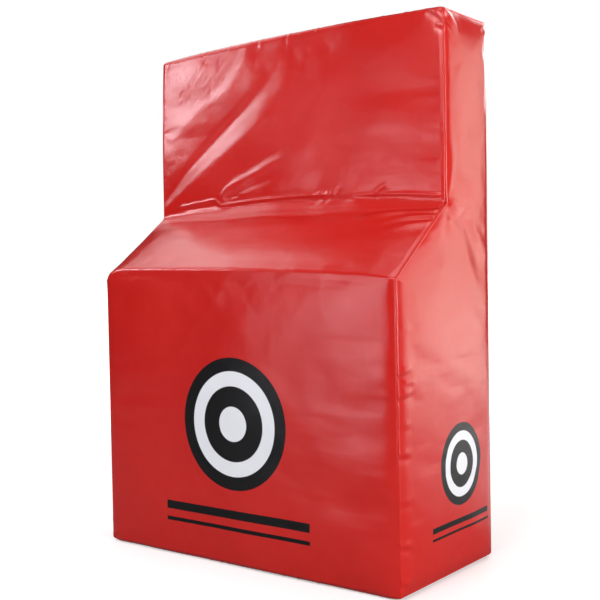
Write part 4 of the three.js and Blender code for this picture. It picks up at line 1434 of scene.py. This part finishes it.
for side, sign in (("left", -1), ("right", 1)):
    lo_g, hi_g = box_mm(f"grip_strap_{side}")
    lo_s, hi_s = box_mm(f"grip_sleeve_{side}")
    lo_l, hi_l = box_mm(f"grip_strap_{side}_end_lower")
    lo_u, hi_u = box_mm(f"grip_strap_{side}_end_upper")
    xc = (lo_g[0] + hi_g[0]) / 2
    half = (hi_g[2] - lo_g[2]) / 2 - 2.5
    reach = hi_g[1] - 2.5
    r = 20.0
    y_tab = (lo_l[1] + hi_l[1]) / 2 - 0.15
    leg = Z_MID - half
    pts = [(y_tab, lo_l[2] + 0.3), (y_tab, leg - 11.0)]
    p0, p1, p2, p3 = np.array([y_tab, leg - 11.0]), np.array([y_tab, leg - 2.0]), np.array([y_tab + 4.0, leg]), np.array([y_tab + 9.5, leg])
    for i in range(1, 12):
        t = i / 12
        pts.append(tuple((1 - t) ** 3 * p0 + 3 * (1 - t) ** 2 * t * p1 + 3 * (1 - t) * t * t * p2 + t ** 3 * p3))
    pts.append((reach - r, leg))
    for i in range(1, 13):
        a = math.radians(-90 + 90 * i / 12)
        pts.append((reach - r + r * math.cos(a), leg + r + r * math.sin(a)))
    pts = pts + [(y, 2 * Z_MID - z) for y, z in pts][::-1]
    line = [(xc, y, z) for y, z in pts]
    total = np.linalg.norm(np.diff(np.array(line), axis=0), axis=1).sum()
    tab = (leg - 11.0 - lo_l[2]) / total
    w_tab, w_leg = hi_l[0] - lo_l[0], hi_g[0] - lo_g[0]

    def width(u, tab=tab, a=w_tab, b=w_leg):
        k = smooth(min(u, 1 - u), tab, tab + 0.06)
        return a + (b - a) * k

    def thick(u, tab=tab):
        k = smooth(min(u, 1 - u), tab + 0.01, tab + 0.07)
        return 2.2 + (4.9 - 2.2) * k

    ob = ribbon(f"hand_grip_{side}_webbing", line, (-1, 0, 0), width, thick, step=0.75, cross=0.9, rib=(0.11, 1.9, 5.0))
    ob.data.materials.append(MAT_WEB)
    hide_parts(f"grip_strap_{side}", f"grip_strap_{side}_end_lower", f"grip_strap_{side}_end_upper")
    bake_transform(ob)
    for end, (l, h) in (("lower", (lo_l, hi_l)), ("upper", (lo_u, hi_u))):
        st = sewn_box(f"hand_grip_{side}_stitching_{end}", xc, w_tab, l[2], h[2], y_tab + 1.15, 1 if end == "lower" else -1)
        dress(st, MAT_THREAD)

    # padded sleeve: a rolled fabric tube, sewn along its inner side and bound at both ends
    zc, zh, rad = (lo_s[2] + hi_s[2]) / 2, (hi_s[2] - lo_s[2]) / 2, (hi_s[0] - lo_s[0]) / 2
    yc = (lo_s[1] + hi_s[1]) / 2
    n_round, rows = 96, []
    stations = np.concatenate([np.linspace(-zh, -zh + 12, 26), np.linspace(-zh + 12, zh - 12, 80)[1:-1], np.linspace(zh - 12, zh, 26)])
    g = np.random.default_rng(70 + sign)
    phase = g.uniform(0, 6.28, 8)
    ang = np.arange(n_round) / n_round * 2 * math.pi
    for z in stations:
        e = zh - abs(z)
        rr = rad - 0.9
        rr -= 1.5 * math.exp(-((e - 7.5) / 1.5) ** 2)                    # binding stitch line
        rr -= 3.2 * max(0.0, 1 - e / 3.0) ** 2.2                         # rounded end
        rr += 0.55 * math.exp(-(z / 34.0) ** 2)
        ripple = 0.16 * np.sin(3 * ang + z / 7 + phase[0]) * math.cos(z / 11 + phase[1]) + 0.10 * np.sin(5 * ang + phase[2] - z / 5)
        crease = 0.35 * np.exp(-((e - 9.8) / 1.3) ** 2) * (0.5 + 0.5 * np.sin(ang * 17 + phase[3]))
        seam = -0.9 * np.exp(-((np.angle(np.exp(1j * (ang + math.pi / 2)))) / 0.055) ** 2) + 0.35 * np.exp(-((np.abs(np.angle(np.exp(1j * (ang + math.pi / 2)))) - 0.15) / 0.06) ** 2)
        ribs = 0.07 * np.cos(2 * math.pi * z / 1.7) * np.cos(ang * 24)
        rr_all = rr + ripple * min(1.0, e / 12) - crease + seam + ribs
        rows.append(np.stack([xc + rr_all * np.cos(ang), yc + rr_all * np.sin(ang), np.full(n_round, zc + z)], -1))
    # the ends turn in towards the webbing
    for k, (dr, dz) in enumerate(((2.0, 0.5), (5.0, 0.7), (7.6, -0.6), (8.0, -4.0))):
        for at, zs in ((0, -1), (len(rows) - 1, 1)):
            pass
    rows = np.array(rows)
    caps_lo, caps_hi = [], []
    for q, dz in ((0.86, 0.25), (0.66, 0.3), (0.50, -0.5), (0.46, -4.0)):
        flat = np.array([1.0, 1.0])
        for src, store, sgn in ((rows[0], caps_lo, -1), (rows[-1], caps_hi, 1)):
            c = np.array([xc, yc])
            v = (src[:, :2] - c) * q
            squeeze = (1 - q) / 0.54
            v = v * np.array([1.0 + 0.55 * squeeze, 1.0 - 0.38 * squeeze])
            store.append(np.stack([c[0] + v[:, 0], c[1] + v[:, 1], np.full(n_round, src[0, 2] + sgn * dz)], -1))
    full = np.array(caps_lo[::-1] + list(rows) + caps_hi)
    verts, faces = tube_grid(full, closed_ends=False)
    # """The small valley that stitching presses along the edges of the bands."""
    ob = new_object(f"hand_grip_{side}_sleeve", verts, faces)
    fix_normals(ob)
    dress(ob, MAT_SLEEVE, body=f"hand_grip_{side}")
    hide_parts(f"grip_sleeve_{side}")
    rows_st = []
    for zz in (-zh + 7.5, zh - 7.5):
        rr = rad - 2.15
        rows_st.append((zz, rr))
    verts_all, faces_all = [], []
    for zz, rr in rows_st:
        count = 26
        for i in range(count):
            a0 = 2 * math.pi * i / count
            seg = []
            for u in (-0.5, -0.36, -0.15, 0.15, 0.36, 0.5):
                a = a0 + u * 2 * math.pi / count * 0.8
                h = 0.30 - 1.2 * (abs(u) / 0.5) ** 4
                seg.append((a, rr + h))
            base = len(verts_all)
            for a, rq in seg:
                cdir = np.array([math.cos(a), math.sin(a), 0])
                ctr = np.array([xc, yc, zc + zz]) + cdir * rq
                for j in range(6):
                    b = 2 * math.pi * j / 6
                    verts_all.append(ctr + 0.3 * (math.cos(b) * cdir + math.sin(b) * np.array([0, 0, 1])))
            for q in range(5):
                for j in range(6):
                    x0, x1 = base + q * 6 + j, base + q * 6 + (j + 1) % 6
                    faces_all.append((x0, x1, x1 + 6, x0 + 6))
            faces_all.append(tuple(base + j for j in range(6))[::-1])
            faces_all.append(tuple(base + 30 + j for j in range(6)))
    st = new_object(f"hand_grip_{side}_sleeve_stitching", verts_all, faces_all)
    fix_normals(st)
    dress(st, MAT_THREAD, body=f"hand_grip_{side}")


# ---------------------------------------------------------------- zip

def zip_half(which, up):
    """One tape with its row of coil."""
    lo, hi = box_mm(f"zip_tape_{which}")
    zc = (ZIP_LO + ZIP_HI) / 2
    far = hi[2] - zc if up > 0 else zc - lo[2]
    x0, x1 = lo[0], hi[0]
    verts, faces = [], []
    # the tape: woven strip with a raised cord where the coil is sewn on
    xs = np.linspace(x0, x1, 400)
    prof = [(far, 0.0), (far - 0.5, 0.38), (far - 4, 0.40), (9.0, 0.40), (6.0, 0.45), (4.6, 0.8), (3.7, 0.85), (3.2, 0.4), (2.9, 0.0), (3.2, -0.3), (9.0, -0.40), (far - 0.5, -0.38)]
    yc = lo[1] + 0.42
    rings = []
    for i, x in enumerate(xs):
        ring = []
        for w, h in prof:
            hh = h + (0.05 * math.cos(2 * math.pi * x / 2.4) if abs(h - 0.40) < 0.06 else 0)
            ring.append((x, yc + hh, zc + up * w))
        rings.append(ring)
    v, f = tube_grid(np.array(rings))
    tape = new_object(f"zip_{which}_tape", v, f)
    fix_normals(tape)
    dress(tape, MAT_TAPE)
    # the coil: one loop per pitch, with a bulging head that locks between its neighbours
    pitch = 1.55
    count = int((x1 - x0 - 8) / pitch)
    verts, faces = [], []
    loop = [(4.1, -1.15), (2.4, -1.25), (0.6, -1.2), (-0.35, -0.9), (-0.7, 0.0), (-0.35, 0.9), (0.6, 1.15), (2.4, 1.1), (4.1, 0.85)]
    fat = [0.40, 0.42, 0.46, 0.56, 0.60, 0.56, 0.46, 0.42, 0.38]
    y_mid = (lo[1] + hi[1]) / 2 + 0.05
    lp, _ = resample([(a, b) for a, b in loop], 0.75)
    s_fat = np.interp(np.linspace(0, 1, len(lp)), np.linspace(0, 1, len(fat)), fat)
    n_lp = len(lp)
    tang = np.gradient(lp, axis=0)
    tang /= np.linalg.norm(tang, axis=1)[:, None]
    for i in range(count):
        xm = x0 + 4 + (i + (0.5 if up > 0 else 0.0)) * pitch
        base = len(verts)
        for k in range(n_lp):
            w, h = lp[k]
            nw, nh = -tang[k][1], tang[k][0]
            lean = 0.32 * pitch * (k / (n_lp - 1) - 0.5)
            for j in range(6):
                b = 2 * math.pi * j / 6
                r = s_fat[k]
                du, dx = r * math.cos(b), r * 0.92 * math.sin(b)
                verts.append((xm + lean + dx, y_mid + h * 0.82 + nh * du, zc + up * (w + nw * du)))
        for k in range(n_lp - 1):
            for j in range(6):
                a, b2 = base + k * 6 + j, base + k * 6 + (j + 1) % 6
                faces.append((a, b2, b2 + 6, a + 6))
        faces.append(tuple(base + j for j in range(6))[::-1])
        faces.append(tuple(base + (n_lp - 1) * 6 + j for j in range(6)))
    coil = new_object(f"zip_{which}_coil", verts, faces)
    fix_normals(coil)
    dress(coil, MAT_COIL)
    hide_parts(f"zip_tape_{which}")
    return tape, coil


zip_half("lower", -1)
zip_half("upper", 1)

# topstitching along the two hems beside the zip
rows = [[(-246, Y_BACK + 0.22, ZIP_LO - 3.4), (246, Y_BACK + 0.22, ZIP_LO - 3.4)], [(-246, Y_BACK + 0.22, ZIP_HI + 3.4), (246, Y_BACK + 0.22, ZIP_HI + 3.4)],
        [(-246, Y_BACK + 0.22, ZIP_LO - 9.0), (246, Y_BACK + 0.22, ZIP_LO - 9.0)], [(-246, Y_BACK + 0.22, ZIP_HI + 9.0), (246, Y_BACK + 0.22, ZIP_HI + 9.0)]]
st = stitch_mesh("zip_hem_stitching", rows, (0, 1, 0), pitch=3.6, length=2.9, radius=0.32, lift=0.05)
dress(st, MAT_THREAD_RED)


def bevelled_copy(name, node, width, segments, angle=25):
    """The CAD shape with its edges rounded."""
    ob = frame["nodes"][node].copy()
    ob.data = ob.data.copy()
    for key in list(ob.keys()):
        del ob[key]
    ob.name = name
    ob.data.name = name
    ob.parent = None
    ob.matrix_world = Matrix.Identity(4)
    ob.hide_render = ob.hide_viewport = False
    bpy.context.scene.collection.objects.link(ob)
    bm = bmesh.new()
    bm.from_mesh(ob.data)
    bmesh.ops.remove_doubles(bm, verts=bm.verts, dist=1e-6)
    bmesh.ops.dissolve_limit(bm, angle_limit=math.radians(2), verts=bm.verts, edges=bm.edges)
    edges = [e for e in bm.edges if len(e.link_faces) == 2 and e.calc_face_angle(0) > math.radians(angle)]
    bmesh.ops.bevel(bm, geom=edges, offset=width * MM, segments=segments, profile=0.6, affect="EDGES", clamp_overlap=True)
    for f in bm.faces:
        f.smooth = True
    bm.to_mesh(ob.data)
    bm.free()
    sharp_by_angle(ob, 35)
    return ob


lo, hi = box_mm("zip_slider")
sx, sz = (lo[0] + hi[0]) / 2, (lo[2] + hi[2]) / 2
slider = bevelled_copy("zip_slider_body", "zip_slider", 0.35, 3)
dress(slider, MAT_METAL, body="zip_slider")
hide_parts("zip_slider")
pull = bevelled_copy("zip_pull_tab", "zip_pull", 0.3, 3)
dress(pull, MAT_METAL, body="zip_pull")
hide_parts("zip_pull")
for side in ("left", "right"):
    ob = bevelled_copy(f"zip_stop_clip_{side}", f"zip_stop_{side}", 0.25, 3)
    dress(ob, MAT_METAL)
    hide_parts(f"zip_stop_{side}")
    lo, hi = box_mm(f"zip_end_patch_{side}")
    ob = rounded_plate(f"zip_patch_{side}", rounded_rectangle(lo[0], hi[0], lo[2], hi[2], 4.0), lo[1] - 0.2, hi[1], edge=0.5)
    dress(ob, MAT_VINYL)
    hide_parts(f"zip_end_patch_{side}")
    i = 2.6
    y = hi[1]
    box = [[(lo[0] + i, y, lo[2] + i), (hi[0] - i, y, lo[2] + i)], [(hi[0] - i, y, lo[2] + i), (hi[0] - i, y, hi[2] - i)],
           [(hi[0] - i, y, hi[2] - i), (lo[0] + i, y, hi[2] - i)], [(lo[0] + i, y, hi[2] - i), (lo[0] + i, y, lo[2] + i)]]
    st = stitch_mesh(f"zip_patch_{side}_stitching", box, (0, 1, 0), pitch=3.2, length=2.6, radius=0.32, lift=0.04)
    dress(st, MAT_THREAD_RED)

# ---------------------------------------------------------------- vents

for k, node in enumerate(VENT_NODES):
    lo, hi = box_mm(node)
    c = ((lo[0] + hi[0]) / 2, (lo[2] + hi[2]) / 2)
    y0 = Y_BACK
    flange = [(4.30, lo[1]), (4.95, lo[1] - 0.25), (5.3, lo[1]), (5.3, y0 + 0.28), (7.2, y0 + 0.24), (7.85, y0 + 0.30), (8.0, y0 + 0.55), (7.9, y0 + 0.82), (7.55, y0 + 1.05), (7.0, y0 + 1.28),
              (6.4, y0 + 1.45), (5.8, y0 + 1.48), (5.2, y0 + 1.40), (4.75, y0 + 1.16), (4.42, y0 + 0.75), (4.30, y0 + 0.2)]
    ob = lathe_y(f"vent_ring_{k + 1}", flange, c)
    dress(ob, MAT_EYELET)
    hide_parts(node)
    wn = node.replace("eyelet", "washer")
    lo, hi = box_mm(wn)
    w = [(5.7, lo[1] + 0.2), (5.9, lo[1]), (8.0, lo[1]), (8.2, lo[1] + 0.2), (8.2, hi[1] - 0.2), (8.0, hi[1]), (6.4, hi[1]), (5.7, hi[1] - 0.4)]
    ob = lathe_y(f"vent_back_{k + 1}", w, c)
    dress(ob, MAT_EYELET)
    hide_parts(wn)


# ---------------------------------------------------------------- floor and light

def stage_floor():
    me = bpy.data.meshes.new("floor")
    r, n = 30.0, 96
    v = [(0, 0, 0)] + [(r * math.cos(2 * math.pi * i / n), r * math.sin(2 * math.pi * i / n), 0) for i in range(n)]
    me.from_pydata([(a, b, -0.0005) for a, b, _ in v], [], [(0, 1 + i, 1 + (i + 1) % n) for i in range(n)])
    ob = bpy.data.objects.new("floor", me)
    bpy.context.scene.collection.objects.link(ob)
    n = Nodes("floor")
    x, y, z = n.split()
    r = n.math("SQRT", n.math("ADD", n.math("MULTIPLY", x, x), n.math("MULTIPLY", y, y)))
    seen = n.tree.nodes.new("ShaderNodeLightPath").outputs["Is Camera Ray"]
    far = n.math("MULTIPLY", n.ramp(r, 0.8, 2.2), seen)
    n.set(Roughness=0.95, Emission_Color=(1.0, 1.0, 1.0), Specular_IOR_Level=0.0)
    glossy = n.tree.nodes.new("ShaderNodeLightPath").outputs["Is Glossy Ray"]
    # a wide patch of floor behind the object glows for glossy rays only: a painted reflection of bright floor in the
    # lower side panel
    reflection_glow = n.math("MULTIPLY", n.math("MULTIPLY", n.ramp(y, 0.15, 0.7), n.ramp(r, 3.0, 4.5, 1.0, 0.0)), n.math("MULTIPLY", glossy, 0.65))
    n.put(n.bsdf.inputs["Emission Strength"], n.math("ADD", reflection_glow, n.math("ADD", far, n.math("MULTIPLY", seen, 0.35))))
    n.put(n.bsdf.inputs["Base Color"], n.mix(seen, n.mix(glossy, (0.37, 0.37, 0.37), (0.20, 0.20, 0.20)), (0.80, 0.80, 0.80)))
    me.materials.append(n.mat)
    return ob


stage_floor()


def area(name, at, look, size, power, colour=(1, 1, 1), spread=180):
    light = bpy.data.lights.new(name, "AREA")
    light.shape = "RECTANGLE"
    light.size, light.size_y = size
    light.energy = power
    light.color = colour
    light.spread = math.radians(spread)
    ob = bpy.data.objects.new(name, light)
    ob.matrix_world = Matrix.Translation(at) @ (Vector(at) - Vector(look)).to_track_quat("Z", "Y").to_matrix().to_4x4()
    ob.visible_camera = False
    bpy.context.scene.collection.objects.link(ob)
    return ob


def toward(point, azimuth, elevation, distance):
    """A place seen from point at an azimuth left of -Y and an elevation."""
    a, e = math.radians(azimuth), math.radians(elevation)
    return Vector(point) + distance * Vector((-math.sin(a) * math.cos(e), -math.cos(a) * math.cos(e), math.sin(e)))


MIDDLE = (0.02, -0.02, 0.42)
for name, azimuth, elevation, size, power, colour in (
        ("high_front", -8, 31, (1.3, 0.7), 29.5, (1.0, 0.98, 0.97)),
        ("right_front", -76, 7, (0.5, 1.2), 42, (1.0, 0.98, 0.97)),
        ("right_back_tall", -147, 4, (0.85, 1.4), 9.2, (1.0, 0.91, 0.80)),
        ("right_back_low", -147, -7, (0.8, 0.25), 0.8, (1.0, 0.93, 0.88)),
        ("right_back", -126, 6, (0.62, 1.4), 7.3, (1.0, 0.90, 0.85)),
        ("window", 24, -1, (0.42, 0.85), 7.2, (0.97, 0.92, 1.0)),
        ("window_high", 57, 24, (0.36, 0.34), 4.3, (0.98, 0.95, 1.0)),
        ("corner_glint", 56, 18, (0.24, 0.24), 6.0, (0.98, 0.94, 1.0)),
        ("left_high", 66, 40, (0.6, 0.5), 3.5, (1.0, 0.98, 1.0)),
        ("left_top", 104, 46, (1.3, 0.9), 8.0, (1.0, 0.99, 1.0)),
        ("overhead", 0, 87, (1.4, 0.9), 11, (1.0, 0.99, 0.98)),
        ("behind", 172, 26, (1.6, 1.0), 26, (1.0, 1.0, 1.0))):
    area(name, toward(MIDDLE, azimuth, elevation, 2.4), MIDDLE, size, power, colour)

world = bpy.data.worlds.new("world")
world.use_nodes = True
bpy.context.scene.world = world
wt = world.node_tree
bg = wt.nodes["Background"]
bg.inputs["Color"].default_value = (0.05, 0.05, 0.052, 1)
white = wt.nodes.new("ShaderNodeBackground")
white.inputs["Color"].default_value = (1, 1, 1, 1)
path = wt.nodes.new("ShaderNodeLightPath")
mixw = wt.nodes.new("ShaderNodeMixShader")
wt.links.new(path.outputs["Is Camera Ray"], mixw.inputs[0])
wt.links.new(bg.outputs[0], mixw.inputs[1])
wt.links.new(white.outputs[0], mixw.inputs[2])
wt.links.new(mixw.outputs[0], wt.nodes["World Output"].inputs["Surface"])
